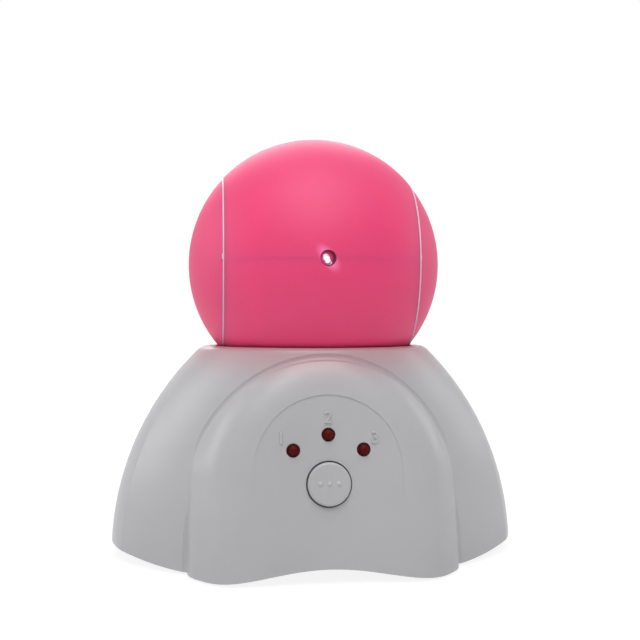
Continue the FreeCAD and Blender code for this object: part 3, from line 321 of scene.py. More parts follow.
def moulded_pink(name, glows):
    """The ball's plastic; the band has the laser's halo round its window."""
    material, tree, surface, place = shader(name)
    settle(surface, IOR=1.53, Roughness=0.55, Subsurface_Weight=0.35, Subsurface_Scale=0.004,
           Subsurface_Radius=(1.0, 0.35, 0.45))
    mottle(tree, surface, place, SHELL_DRIFT, "#F83E79", "#FC447F")
    grain(tree, surface, place, 0.0003, 0.000006)
    if glows:
        halo = add(tree, "ShaderNodeMapping",
                   {"Vector": place, "Location": LASER_MOUTH, "Rotation": (0, HALO_TILT, 0),
                    "Scale": HALO_SIZE}, vector_type="TEXTURE")
        reach = add(tree, "ShaderNodeVectorMath", {0: halo.outputs["Vector"]}, operation="LENGTH")
        fade = add(tree, "ShaderNodeMapRange",
                   {"Value": reach.outputs["Value"], "From Min": 0.35, "From Max": 1.25,
                    "To Min": HALO_STRENGTH, "To Max": 0.0}, interpolation_type="SMOOTHSTEP")
        settle(surface, Emission_Color=linear("#C6BEFF"), Emission_Strength=fade.outputs["Result"])
    return material


band_pink = moulded_pink("satin translucent ABS pink, lit at the laser", True)
cap_pink = moulded_pink("satin translucent ABS pink", False)


# %% [markdown]
# ## Metals
# A metal has no colour of its own under its shine: the base colour is what its surface reflects. Screws are
# zinc-plated steel, slightly cloudy. Drawn motor cans are nickel-plated, and drawing leaves fine lines along
# them. Ground shafts are the brightest. The laser's barrel is turned brass with fine turning marks. It sits
# deep in the ball's hole, so its dull red brown is painted shade, with the shell's pink light in it.

# %% Metal materials
def metal(name, dark, light, roughness, mark_size, mark_depth, stretch=(1, 1, 1)):
    """A metal with tool marks, drawn out along the axes where the stretch is small."""
    material, tree, surface, place = shader(name)
    settle(surface, Metallic=1.0, Roughness=roughness)
    drawn = add(tree, "ShaderNodeMapping", {"Vector": place, "Scale": stretch})
    mottle(tree, surface, drawn.outputs["Vector"], 0.004, dark, light)
    grain(tree, surface, drawn.outputs["Vector"], mark_size, mark_depth, 1.0)
    return material


screw_steel = metal("zinc-plated steel", "#B9BDC4", "#D2D4D8", 0.34, 0.0004, 0.000004)
spring_steel = metal("nickel-plated spring steel", "#C6C3BA", "#D8D5CC", 0.26, 0.0005, 0.000003)
motor_steel = metal("nickel-plated drawn steel", "#B4B2AC", "#C9C7C1", 0.3, 0.0006, 0.000004, (1, 1, 0.08))
shaft_steel = metal("ground steel", "#C4C6C8", "#D6D8DA", 0.2, 0.0002, 0.000002, (1, 1, 5))
# The barrel's dull red brown is painted shade and pink light, for its place deep in the hole.
brass_in_painted_shade = metal("turned brass in painted shade and pink light", "#7C4A46", "#96605A", 0.34, 0.00015, 0.000003, (0.1, 6, 0.1))


# %% [markdown]
# ## Inner plastics and rubber
# Gears are natural acetal, a milky plastic that lets a little light in. The feet are matt moulded rubber.
# The tactile switch and its plunger are black PBT. None of these is painted, so each is one pigment with a
# fine grain, and only the tone drifts a little.

# %% Plastics and rubber
def moulded(name, dark, light, roughness, grain_size, grain_depth, ior, inside=0.0):
    """A moulded plastic or rubber; inside is the share of light that goes in and comes out again."""
    material, tree, surface, place = shader(name)
    settle(surface, IOR=ior, Roughness=roughness, Subsurface_Weight=inside, Subsurface_Scale=0.002,
           Subsurface_Radius=(1.0, 0.9, 0.75))
    mottle(tree, surface, place, 0.012, dark, light)
    grain(tree, surface, place, grain_size, grain_depth)
    return material


acetal = moulded("natural moulded acetal", "#E6E2D4", "#EFECE0", 0.35, 0.0005, 0.000008, 1.48, 0.25)
rubber = moulded("moulded rubber grey", "#5B5D61", "#66686C", 0.78, 0.0004, 0.00003, 1.52)
black_plastic = moulded("moulded PBT black", "#191A1C", "#222326", 0.46, 0.0004, 0.00001, 1.57)


# %% [markdown]
# ## Circuit boards
# A board is glass fibre in epoxy under a green solder mask. The copper tracks under the mask show as
# slightly lighter, raised lines about 0.5 mm wide. A brick pattern gives runs of track that break and step,
# much as a small board has them.

# %% Board material
def solder_mask(name):
    material, tree, surface, place = shader(name)
    settle(surface, IOR=1.55, Roughness=0.32, Coat_Weight=0.4, Coat_Roughness=0.15)
    tracks = add(tree, "ShaderNodeTexBrick",
                 {"Vector": place, "Scale": 1.0, "Brick Width": 0.007, "Row Height": 0.0021,
                  "Mortar Size": 0.00045, "Mortar Smooth": 0.3, "Color1": linear("#0F5A35"),
                  "Color2": linear("#12613A"), "Mortar": linear("#2C8A58")}, offset=0.37)
    bump = add(tree, "ShaderNodeBump",
               {"Height": tracks.outputs["Fac"], "Distance": 0.00004, "Strength": 1.0})
    settle(surface, Base_Color=tracks.outputs["Color"], Normal=bump.outputs["Normal"])
    return material


board_green = solder_mask("solder mask on glass fibre board")


# %% [markdown]
# ## Battery cells
# The three cells wear a shrink sleeve: a dark body with a copper-coloured band at one end, which says which
# way round they go. The end caps are nickel-plated steel. The sleeve is coloured by the place along the
# cell.

# %% Cell sleeve
cell_low, cell_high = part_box("battery_cell_1")


def shrink_sleeve(name):
    material, tree, surface, place = shader(name)
    settle(surface, IOR=1.5, Roughness=0.3, Coat_Weight=0.5, Coat_Roughness=0.2)
    along = add(tree, "ShaderNodeSeparateXYZ", {"Vector": place}).outputs["X"]
    share = add(tree, "ShaderNodeMapRange",
                {"Value": along, "From Min": cell_low.x, "From Max": cell_high.x})
    ramp = add(tree, "ShaderNodeValToRGB", {"Fac": share.outputs["Result"]})
    ramp.color_ramp.interpolation = "CONSTANT"
    set_stops(ramp, (0.0, "#B9B7B1"), (0.03, "#2A2C31"), (0.7, "#B8733A"), (0.95, "#B9B7B1"))
    settle(surface, Base_Color=ramp.outputs["Color"])
    grain(tree, surface, place, 0.0008, 0.000008)
    return material


cell_sleeve = shrink_sleeve("printed shrink sleeve on a steel cell")


# %% [markdown]
# ## Lamp epoxy and laser lens
# The lamps are cast in red-tinted epoxy, and here they are off, though the red epoxy of their CAD nodes
# has a faint painted glow. The laser is on: its lens is a deep pink disc, plum at the rim, with a long
# ragged spark of white in it. The spark is an ellipse whose edge is broken up by a fine noise.

# %% Lamp and lens materials
def epoxy_with_painted_glow(name):
    """Red epoxy with a faint painted glow, for the lamps' CAD nodes, which the turned lamps further down stand in
    for.
    """
    material, tree, surface, place = shader(name)
    # The emission is a faint painted red glow; the lamps are off.
    settle(surface, IOR=1.54, Roughness=0.12, Coat_Weight=0.3, Coat_Roughness=0.05,
           Emission_Color=linear("#FF2A20"), Emission_Strength=0.15)
    mottle(tree, surface, place, 0.002, "#7A1218", "#8A181E")
    return material


LENS_RADIUS = (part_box("laser_lens")[1].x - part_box("laser_lens")[0].x) / 2
SPARK_SIZE = (0.0009, 0.02, 0.0017)       # half width, depth and half height of the bright patch
SPARK_TILT = math.radians(-30)


def lens_glow(name):
    """A long ragged spark of laser light, in a lens that is deep pink round it and plum at its rim."""
    low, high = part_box("laser_lens")
    middle = (low + high) / 2
    material, tree, surface, place = shader(name)
    settle(surface, IOR=1.49, Roughness=0.2, Base_Color=linear("#3A0A1C"), Specular_IOR_Level=0.2)
    spark = add(tree, "ShaderNodeMapping",
                {"Vector": place, "Location": middle, "Rotation": (0, SPARK_TILT, 0),
                 "Scale": SPARK_SIZE}, vector_type="TEXTURE")
    reach = add(tree, "ShaderNodeVectorMath", {0: spark.outputs["Vector"]}, operation="LENGTH")
    speckle = add(tree, "ShaderNodeTexNoise", {"Vector": place, "Scale": 1 / 0.0007, "Detail": 2.0})
    ragged = add(tree, "ShaderNodeMath", {0: speckle.outputs["Fac"], 1: 1.2, 2: reach.outputs["Value"]},
                 operation="MULTIPLY_ADD")
    white = add(tree, "ShaderNodeMapRange",
                {"Value": ragged.outputs["Value"], "From Min": 1.3, "From Max": 1.55,
                 "To Min": 1.0, "To Max": 0.0})
    offset = add(tree, "ShaderNodeVectorMath", {0: place, 1: middle}, operation="SUBTRACT")
    flat = add(tree, "ShaderNodeVectorMath",
               {0: offset.outputs["Vector"], 1: (1 / LENS_RADIUS, 0, 1 / LENS_RADIUS)}, operation="MULTIPLY")
    rim = add(tree, "ShaderNodeVectorMath", {0: flat.outputs["Vector"]}, operation="LENGTH")
    disc = add(tree, "ShaderNodeValToRGB", {"Fac": rim.outputs["Value"]})
    set_stops(disc, (0.55, "#D23A7C"), (0.98, "#7A2A48"))
    lit = add(tree, "ShaderNodeMix", {"Factor": white.outputs["Result"], 6: disc.outputs["Color"],
                                      7: (1, 1, 1, 1)}, data_type="RGBA")
    settle(surface, Emission_Color=lit.outputs[2], Emission_Strength=1.0)
    return material


led_red = epoxy_with_painted_glow("cast red epoxy")
laser_glow = lens_glow("clear acrylic lens, lit by the laser")


# %% [markdown]
# ## Finish every CAD node
# The record names a material slot for each node. One table turns a slot into the finish made above, and each
# node's own slots are filled from it. Four nodes have a finish of their own: the ball's caps are the same
# plastic as the band, without the laser's glow, and the cheeks are white, but shine through the seams in the
# pink light that the shells on both sides pass on, which is painted into their colour.

# %% Give the nodes their finishes
FINISHES = {
    "housing_white": housing_white, "ball_pink": band_pink, "frame_white": frame_white, "gear_nylon": acetal,
    "rubber_grey": rubber, "screw_steel": screw_steel, "spring_steel": spring_steel,
    "motor_steel": motor_steel, "shaft_steel": shaft_steel, "board_green": board_green,
    "switch_black": black_plastic, "led_red": led_red, "laser_brass": brass_in_painted_shade,
    "laser_lens_clear": laser_glow, "cell_sleeve": cell_sleeve}
NODE_SLOTS = {entry["node"]: entry["material_slot"] for entry in frame["record"]["subparts"]}
OWN_FINISH = {"left_cap": cap_pink, "right_cap": cap_pink,
              "left_cheek": cheek_white_painted_pink_light, "right_cheek": cheek_white_painted_pink_light}
for node, thing in frame["nodes"].items():
    thing.data.materials.clear()
    thing.data.materials.append(OWN_FINISH.get(node, FINISHES[NODE_SLOTS[node]]))
print("finished", len(frame["nodes"]), "CAD nodes with", len(FINISHES), "finishes")


# %% [markdown]
# ## Meshes from rules
# Most pieces on this toy are turned shapes, so one helper spins a profile round an axis. The profile is a
# list of points (distance from the axis, distance along it). A point on the axis becomes one shared vertex,
# so the pole is closed, and each vertex keeps its distance from the axis as an attribute that a material can
# read.

# %% Mesh helpers
ON_AXIS = 1e-9            # a profile point closer than this lies on the axis
WELD = 1e-6               # vertices closer than this are one


def shade(mesh, crisp_angle):
    """Smooth faces, and an edge wherever two of them meet at more than an angle in degrees."""
    mesh.polygons.foreach_set("use_smooth", [True] * len(mesh.polygons))
    mesh.set_sharp_from_angle(angle=math.radians(crisp_angle))


def finish_mesh(name, mesh_data, material, place=Matrix(), crisp_angle=30.0):
    """Turns a bmesh into an object at the origin, with smooth faces and crisp edges."""
    mesh = bpy.data.meshes.new(name)
    mesh_data.transform(place)
    mesh_data.to_mesh(mesh)
    mesh_data.free()
    shade(mesh, crisp_angle)
    mesh.materials.append(material)
    piece = bpy.data.objects.new(name, mesh)
    bpy.context.scene.collection.objects.link(piece)
    return piece


def lathe(profile, steps=96):
    """A closed turned shape about +Z from (radius, height) points, from the lower pole to the upper."""
    spun = bmesh.new()
    radial = spun.verts.layers.float.new("radial")
    widest = max(radius for radius, _ in profile)
    rings = []
    for radius, height in profile:
        ring = []
        for step in range(1 if radius < ON_AXIS else steps):
            turn = 2 * math.pi * step / steps
            vertex = spun.verts.new((radius * math.cos(turn), radius * math.sin(turn), height))
            vertex[radial] = radius / widest
            ring.append(vertex)
        rings.append(ring)
    for lower, upper in zip(rings, rings[1:]):
        for step in range(steps):
            after = (step + 1) % steps
            corners = [lower[step % len(lower)], lower[after % len(lower)],
                       upper[after % len(upper)], upper[step % len(upper)]]
            spun.faces.new(list(dict.fromkeys(corners)))
    return spun


def arc(centre_radius, centre_height, radius, start, end, steps):
    """Points of a round in a lathe's profile, with angles in degrees from the radial direction."""
    turns = [math.radians(start + (end - start) * i / steps) for i in range(steps + 1)]
    return [(centre_radius + radius * math.cos(t), centre_height + radius * math.sin(t)) for t in turns]


def merged_copy(node):
    """A CAD node's mesh with its loose triangles joined, and its exact normals kept as an attribute."""
    source = frame["nodes"][node].data.copy()
    normals = np.empty(len(source.loops) * 3, np.float32)
    source.corner_normals.foreach_get("vector", normals)
    source.attributes.new("cad_normal", "FLOAT_VECTOR", "CORNER").data.foreach_set("vector", normals)
    joined = bmesh.new()
    joined.from_mesh(source)
    bpy.data.meshes.remove(source)
    bmesh.ops.remove_doubles(joined, verts=joined.verts, dist=WELD)
    return joined


def use_cad_normals(piece):
    """Shades a cut copy with the CAD's own normals, and the freshly cut faces with the mesh's."""
    mesh = piece.data
    kept = np.empty(len(mesh.loops) * 3, np.float32)
    mesh.attributes["cad_normal"].data.foreach_get("vector", kept)
    own = np.empty(len(mesh.loops) * 3, np.float32)
    mesh.corner_normals.foreach_get("vector", own)
    kept, own = kept.reshape(-1, 3), own.reshape(-1, 3)
    length = np.linalg.norm(kept, axis=1)
    agree = (kept * own).sum(1) / np.maximum(length, 1e-6)
    usable = (length > 0.5) & (agree > 0.5)
    own[usable] = kept[usable] / length[usable, None]
    mesh.attributes.remove(mesh.attributes["cad_normal"])
    mesh.normals_split_custom_set(own.tolist())


# %% [markdown]
# ## Geometry Nodes as a workshop
# What repeats, or follows a path, is made by Geometry Nodes: a small tree takes a few points and some sizes
# and grows the piece from them. The tree's inputs have names, as the sizes on a drawing have. The result is
# then turned into a plain mesh, so the finished piece no longer depends on the tree, and can be exported.

# %% Geometry Nodes helpers
def new_tree(name, **inputs):
    """A geometry tree with a points input, named sizes and a finish, and the outputs of its input node."""
    tree = bpy.data.node_groups.new(name, "GeometryNodeTree")
    tree.interface.new_socket(name="Points", in_out="INPUT", socket_type="NodeSocketGeometry")
    for label, kind in inputs.items():
        tree.interface.new_socket(name=label.replace("_", " "), in_out="INPUT",
                                  socket_type="NodeSocket" + kind)
    tree.interface.new_socket(name="Finish", in_out="INPUT", socket_type="NodeSocketMaterial")
    tree.interface.new_socket(name="Piece", in_out="OUTPUT", socket_type="NodeSocketGeometry")
    return tree, add(tree, "NodeGroupInput").outputs


def close_tree(tree, shape, finish):
    """Ends a tree: instances become real geometry, which gets its finish."""
    real = add(tree, "GeometryNodeRealizeInstances", {"Geometry": shape})
    coated = add(tree, "GeometryNodeSetMaterial",
                 {"Geometry": real.outputs["Geometry"], "Material": finish})
    add(tree, "NodeGroupOutput", {"Piece": coated.outputs["Geometry"]})


def shape_of(thing):
    """A plain mesh of what an object looks like with its modifiers, or of a curve."""
    graph = bpy.context.evaluated_depsgraph_get()
    return bpy.data.meshes.new_from_object(thing.evaluated_get(graph))


def work_in(piece):
    """Gives a piece the shape that its modifiers make, and drops them."""
    mesh = shape_of(piece)
    piece.modifiers.clear()
    piece.data = mesh


def grown(name, points, edges, tree, sizes, crisp_angle=35.0):
    """Runs a tree on some points, and keeps the result as a plain mesh."""
    seed = bpy.data.meshes.new(name)
    seed.from_pydata(points, edges, [])
    piece = bpy.data.objects.new(name, seed)
    bpy.context.scene.collection.objects.link(piece)
    modifier = piece.modifiers.new("grow", "NODES")
    modifier.node_group = tree
    for socket in tree.interface.items_tree:
        if socket.name in sizes:
            modifier[socket.identifier] = sizes[socket.name]
    work_in(piece)
    shade(piece.data, crisp_angle)
    print(name, "grown with", len(piece.data.polygons), "faces")
    return piece


# %% [markdown]
# ## The front panel's place
# The lamps and the button sit square to the front panel, which leans back by 7 degrees. A matrix for the
# panel lets their pieces be made lying flat, with z pointing out of the panel, and then be stood up in one
# step. The places of the lamps and the button come from the CAD nodes, so they can't drift from their holes.

# %% Panel place
PANEL_LEAN = math.radians(7)
PANEL_TURN = Matrix.Rotation(math.pi / 2 - PANEL_LEAN, 4, "X")
PANEL_OUT = Vector((0, -math.cos(PANEL_LEAN), math.sin(PANEL_LEAN)))
PANEL_UP = Vector((0, math.sin(PANEL_LEAN), math.cos(PANEL_LEAN)))
LAMPS = ("led_left", "led_middle", "led_right")
SIDES = ((-1, "left"), (1, "right"))
TIP_SHARE = 0.01          # of a node's height; vertices within it of the foremost one make the tip


def panel_place(point):
    """A frame with z square out of the panel, at a point."""
    return Matrix.Translation(point) @ PANEL_TURN


def corners_of(node):
    """The vertices of a CAD node as rows of numbers."""
    vertices = frame["nodes"][node].data.vertices
    spots = np.empty(len(vertices) * 3)
    vertices.foreach_get("co", spots)
    return spots.reshape(-1, 3)


def foremost_point(node):
    """Where a node's axis, which leans with the panel, comes out in front."""
    low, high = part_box(node)
    spots = corners_of(node)
    reach = spots @ np.array(PANEL_OUT)
    return Vector(spots[reach > reach.max() - TIP_SHARE * (high.z - low.z)].mean(0))


lamp_tops = {lamp: foremost_point(lamp) for lamp in LAMPS}
button_top = foremost_point("mode_button")


# %% [markdown]
# ## Housing with its arch groove
# The housing is one moulding. A soft groove, 1.6 mm wide and 0.3 mm deep, follows the arch where the front
# pad meets the main form. It could be drawn with a bump map, but a real groove also shades from the side. A
# round bar is swept along the arch, a little outside the surface, and a boolean takes it away from a copy of
# the CAD housing, so every other size stays as it was. The arch is a rule: a circle whose centre is 6 mm
# under the panel's centre, and legs that spread a little towards the floor. Rays shot at the housing say how
# far back each point of it lies. The surface turns suddenly at the pad's edge, so the places and directions
# that the rays bring back are evened out along the line.

# %% Arch line
PANEL_CENTRE = Vector((0, -0.034, 0.0262))
ARCH_RADIUS, ARCH_DROP, LEG_FLARE = 0.0327, 0.006, 0.07
LEG_REACH = 1.05          # how far down the legs go, in heights of the panel's centre over the floor
ROUND_STEPS, LEG_STEPS = 110, 26
RAY_START = 0.05          # in front of the panel
housing_surface = BVHTree.FromBMesh(merged_copy("base_shell"))


def arch_points():
    """Points of the arch in the panel's plane, from the left foot over the top to the right foot."""
    leg_top = math.sqrt(ARCH_RADIUS ** 2 - ARCH_DROP ** 2)
    start = math.atan2(ARCH_DROP, leg_top)
    drops = [-PANEL_CENTRE.z * LEG_REACH * (i + 1) / LEG_STEPS for i in range(LEG_STEPS)]
    right_leg = [(leg_top - LEG_FLARE * y, y) for y in drops]
    turns = [math.pi - start - (math.pi - 2 * start) * i / ROUND_STEPS for i in range(ROUND_STEPS + 1)]
    bow = [(ARCH_RADIUS * math.cos(turn), ARCH_RADIUS * math.sin(turn) - ARCH_DROP) for turn in turns]
    return [(-x, y) for x, y in reversed(right_leg)] + bow + right_leg


def on_housing(x, y):
    """The point of the housing straight behind a place on the panel and its normal, or None."""
    origin = PANEL_CENTRE + Vector((x, 0, 0)) + PANEL_UP * y + PANEL_OUT * RAY_START
    point, normal, _, _ = housing_surface.ray_cast(origin, -PANEL_OUT)
    return (point, normal) if point else None


# %% Housing
GROOVE_RADIUS = 0.0012
GROOVE_LIFT = 0.0009      # the bar's centre outside the surface
GROOVE_SIDES = 64
PLACE_ROUNDS, WAY_ROUNDS = 8, 120         # of evening out
RUN_OUT = 0.005           # the bar goes on past the arch's feet
HOUSING_CRISP = 28.0      # degrees


def cut_away(piece, cutter):
    """Takes a closed cutter away from a piece and drops the cutter."""
    cut = piece.modifiers.new("cut", "BOOLEAN")
    cut.operation, cut.object, cut.solver = "DIFFERENCE", cutter, "EXACT"
    work_in(piece)
    bpy.data.objects.remove(cutter)


def evened(row, rounds):
    """Draws each vector of a row towards its neighbours, again and again; the two ends stay."""
    for _ in range(rounds):
        row = [row[0]] + [(a + 2 * b + c) / 4 for a, b, c in zip(row, row[1:], row[2:])] + [row[-1]]
    return row


landed = [spot for spot in (on_housing(x, y) for x, y in arch_points()) if spot]
places = evened([point for point, normal in landed], PLACE_ROUNDS)
ways = evened([normal for point, normal in landed], WAY_ROUNDS)
groove_line = [place + way.normalized() * GROOVE_LIFT for place, way in zip(places, ways)]
groove_line = [groove_line[0] - PANEL_UP * RUN_OUT] + groove_line + [groove_line[-1] - PANEL_UP * RUN_OUT]


def bar_tree():
    """Sweeps a round, closed bar along the line that the points make."""
    tree, size = new_tree("bar along a line", Bar_radius="Float", Sides="Int")
    line_curve = add(tree, "GeometryNodeMeshToCurve", {"Mesh": size["Points"]})
    section = add(tree, "GeometryNodeCurvePrimitiveCircle",
                  {"Resolution": size["Sides"], "Radius": size["Bar radius"]}, mode="RADIUS")
    bar = add(tree, "GeometryNodeCurveToMesh",
              {"Curve": line_curve.outputs["Curve"], "Profile Curve": section.outputs["Curve"],
               "Fill Caps": True})
    close_tree(tree, bar.outputs["Mesh"], size["Finish"])
    return tree


groove_bar = grown("groove_bar", groove_line, [(i, i + 1) for i in range(len(groove_line) - 1)], bar_tree(),
                   {"Bar radius": GROOVE_RADIUS, "Sides": GROOVE_SIDES, "Finish": housing_white})
housing = finish_mesh("housing", merged_copy("base_shell"), housing_white)
cut_away(housing, groove_bar)
housing.data.set_sharp_from_angle(angle=math.radians(HOUSING_CRISP))
use_cad_normals(housing)
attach(housing, "base")
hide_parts("base_shell")
print("housing faces:", len(housing.data.polygons))


# %% [markdown]
# ## Lamps
# Each indicator is a 3 mm lamp: a dome on a short barrel with a small collar, and two legs that go to the
# board. Unlit epoxy is dark red. Over it are painted shade and light: a painted dark ring where one looks
# through the thick of the dome, a dim painted highlight halfway out, and a bright painted rim, where light
# comes back from the hole. That pattern follows the lamp's own axis, so it reads the distance from the axis
# that the lathe stored, not a picture. The dome's outline is shifted at the end, so that its top is at zero.

# %% Lamp finish and lamps
LAMP_RADIUS, COLLAR_RADIUS = 0.0015, 0.00185
COLLAR_BACK, COLLAR_FRONT, BARREL_BACK, DOME_FOOT = -0.0046, -0.0038, -0.0036, -0.0012
LEG_RADIUS, LEG_TOP = 0.00025, -0.0055
LEG_OFFSET = 0.00127      # half of the 2.54 mm pitch
LENGTH_SHARE = 0.97       # of the CAD lamp's length, where the legs end


def epoxy_painted_light(name):
    material, tree, surface, place = shader(name)
    settle(surface, IOR=1.54, Roughness=0.3, Specular_IOR_Level=0.06)
    radial = add(tree, "ShaderNodeAttribute", attribute_name="radial").outputs["Fac"]
    cloud = add(tree, "ShaderNodeTexNoise", {"Vector": place, "Scale": 1 / 0.0012, "Detail": 2.0})
    cloudy = add(tree, "ShaderNodeMath", {0: cloud.outputs["Fac"], 1: 0.18, 2: radial},
                 operation="MULTIPLY_ADD")
    ramp = add(tree, "ShaderNodeValToRGB", {"Fac": cloudy.outputs["Value"]})
    # Painted light: a dark middle, a dim painted highlight halfway out, a painted shaded ring and a bright painted
    # rim.
    set_stops(ramp, (0.0, "#4A0A0A"), (0.5, "#640F0D"), (0.76, "#2C0406"), (1.0, "#8A1614"))
    settle(surface, Base_Color=ramp.outputs["Color"])
    return material


lamp_red_painted_light = epoxy_painted_light("cast red epoxy, painted shade and light")
lamp_top = DOME_FOOT + LAMP_RADIUS
lamp_profile = [(0, COLLAR_BACK), (COLLAR_RADIUS, COLLAR_BACK), (COLLAR_RADIUS, COLLAR_FRONT),
                (LAMP_RADIUS, BARREL_BACK), (LAMP_RADIUS, DOME_FOOT),
                *arc(0, DOME_FOOT, LAMP_RADIUS, 8, 82, 12), (0, lamp_top)]
lamp_profile = [(radius, height - lamp_top) for radius, height in lamp_profile]
for lamp in LAMPS:
    low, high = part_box(lamp)
    length = (high.y - low.y) / math.cos(PANEL_LEAN) * LENGTH_SHARE
    leg_profile = [(0, -length), (LEG_RADIUS, -length), (LEG_RADIUS, LEG_TOP), (0, LEG_TOP)]
    dome = finish_mesh(lamp + "_dome", lathe(lamp_profile), lamp_red_painted_light, panel_place(lamp_tops[lamp]))
    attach(dome, "base")
    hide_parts(lamp)
    for side, side_name in SIDES:
        leg = finish_mesh(f"{lamp}_leg_{side_name}", lathe(leg_profile, 12), shaft_steel,
                          panel_place(lamp_tops[lamp]) @ Matrix.Translation((side * LEG_OFFSET, 0, 0)))
        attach(leg, "base")


# %% [markdown]
# ## Numbers by the lamps
# Small raised numbers name the three ways of running. They are moulded with the housing, in the same
# plastic, and stand a third of a millimetre proud. Blender's own font draws them as a text curve. The curve
# is made a mesh first, and only then brought to its place: further out than its lamp, as seen from the
# button.

# %% Numbers
NUMBER_HEIGHT = 0.0040       # of the type's body; the digit itself is 2.9 mm
NUMBER_PROUD = 0.00034
NUMBER_SLOPE = 0.0002        # width of the sloping side, which is what catches the light
NUMBER_STEP_OUT = 0.0039     # from a lamp's centre, away from the button
NUMBER_RAY = 0.02            # in front of the button; the ray finds the housing's face


def raised_number(text, lamp):
    curve = bpy.data.curves.new("number", "FONT")
    curve.body, curve.align_x, curve.align_y = text, "CENTER", "CENTER"
    curve.size, curve.extrude = NUMBER_HEIGHT, NUMBER_PROUD - NUMBER_SLOPE
    curve.bevel_depth, curve.bevel_resolution = NUMBER_SLOPE, 2
    curve.offset, curve.resolution_u = -NUMBER_SLOPE / 4, 6
    holder = bpy.data.objects.new("number", curve)
    bpy.context.scene.collection.objects.link(holder)
    digit = bmesh.new()
    digit.from_mesh(shape_of(holder))
    bpy.data.objects.remove(holder)
    away = lamp_tops[lamp] - button_top
    across, upward = away.x, away.dot(PANEL_UP)
    reach = math.hypot(across, upward)
    centre = Vector((across, upward)) * ((reach + NUMBER_STEP_OUT) / reach)
    spot = button_top + Vector((centre.x, 0, 0)) + PANEL_UP * centre.y
    face = housing_surface.ray_cast(spot + PANEL_OUT * NUMBER_RAY, -PANEL_OUT)[0]
    piece = finish_mesh("number_" + text, digit, housing_white, panel_place(face))
    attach(piece, "base")


for i, lamp in enumerate(LAMPS):
    raised_number(str(i + 1), lamp)


# %% [markdown]
# ## Dots on the button
# Three small raised dots in a row mark the button, one for each way of running. A dot is a shallow cap of a
# sphere. All three are alike, so they are turned on the lathe helper and joined into one piece that moves
# with the button.

# %% Button dots
DOT_RADIUS, DOT_RISE, DOT_STEP = 0.0007, 0.0003, 0.0022
DOT_ROOT = -0.0002        # how deep a dot reaches into the button


def dot_profile():
    """Half outline of a dot, from under the button's face to its top."""
    sphere = (DOT_RADIUS ** 2 + DOT_RISE ** 2) / (2 * DOT_RISE)
    edge = math.degrees(math.asin(DOT_RADIUS / sphere))
    return [(0, DOT_ROOT), (DOT_RADIUS, DOT_ROOT),
            *arc(0, DOT_RISE - sphere, sphere, 90 - edge, 89, 5), (0, DOT_RISE)]


button_dots = bmesh.new()
for step in (-1, 0, 1):
    dot = lathe(dot_profile(), 32)
    dot.transform(panel_place(button_top) @ Matrix.Translation((DOT_STEP * step, 0, 0)))
    dot_mesh = bpy.data.meshes.new("dot")
    dot.to_mesh(dot_mesh)
    button_dots.from_mesh(dot_mesh)
    bpy.data.meshes.remove(dot_mesh)
    dot.free()
dots_piece = finish_mesh("button_dots", button_dots, housing_white)
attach(dots_piece, "mode_key")


# %% [markdown]
# ## Lips of the band
# The band's two edges end in a thin lip that reaches over the cheek's white rim, so the running gap stays
# dark only far inside and the rim shows as a fine white line. Each lip is a ring that follows the ball's
# sphere, spun about the tilt axis like the ball itself.

# %% Band lips
LIP_FROM, LIP_TO = 0.02369, 0.02436       # along the tilt axis
LIP_THICKNESS = 0.00018
LIP_ROUND, LIP_ACROSS = 240, 4            # steps
LIP_CRISP = 50.0


def band_lip(side, side_name):
    width = LIP_TO - LIP_FROM
    across = [LIP_FROM + width * i / LIP_ACROSS for i in range(LIP_ACROSS + 1)]
    outer = [(math.sqrt(BALL_RADIUS ** 2 - x ** 2), x) for x in across]
    inner_radius = BALL_RADIUS - LIP_THICKNESS
    inner = [(math.sqrt(inner_radius ** 2 - x ** 2), x) for x in reversed(across)]
    turns = [2 * math.pi * k / LIP_ROUND for k in range(LIP_ROUND)]
    ring = bmesh.new()
    rows = [[ring.verts.new((side * x, radius * math.cos(turn), radius * math.sin(turn))) for turn in turns]
            for radius, x in outer + inner]
    for a, b in zip(rows, rows[1:] + rows[:1]):
        for k in range(LIP_ROUND):
            after = (k + 1) % LIP_ROUND
            ring.faces.new((a[k], a[after], b[after], b[k]))
    bmesh.ops.recalc_face_normals(ring, faces=ring.faces)
    return finish_mesh("band_lip_" + side_name, ring, band_pink, Matrix.Translation(BALL_CENTRE), LIP_CRISP)


for side, side_name in SIDES:
    lip = band_lip(side, side_name)
    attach(lip, "laser_band")


# %% [markdown]
# ## Seam keys
# Each cap is located by a small white key at about the height of the laser, front and back, which fills a
# notch in the cap's edge. The key follows the ball's surface, so it is made as a small patch of a sphere
# with rounded ends and a thickness, not as a block.

# %% Seam keys
KEY_HALF_HEIGHT = 0.0010
KEY_WIDTH = 0.0005
KEY_THICKNESS = 0.0007
KEY_RISE = 0.0009         # of its middle over the ball's centre
KEY_OVERLAP = 0.0003      # towards the band, past the cap's edge
KEY_PROUD = 0.00004       # over the ball's surface
KEY_ROWS, KEY_COLUMNS = 10, 4
FACINGS = ((-1, "front"), (1, "back"))
cap_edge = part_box("right_cap")[0].x


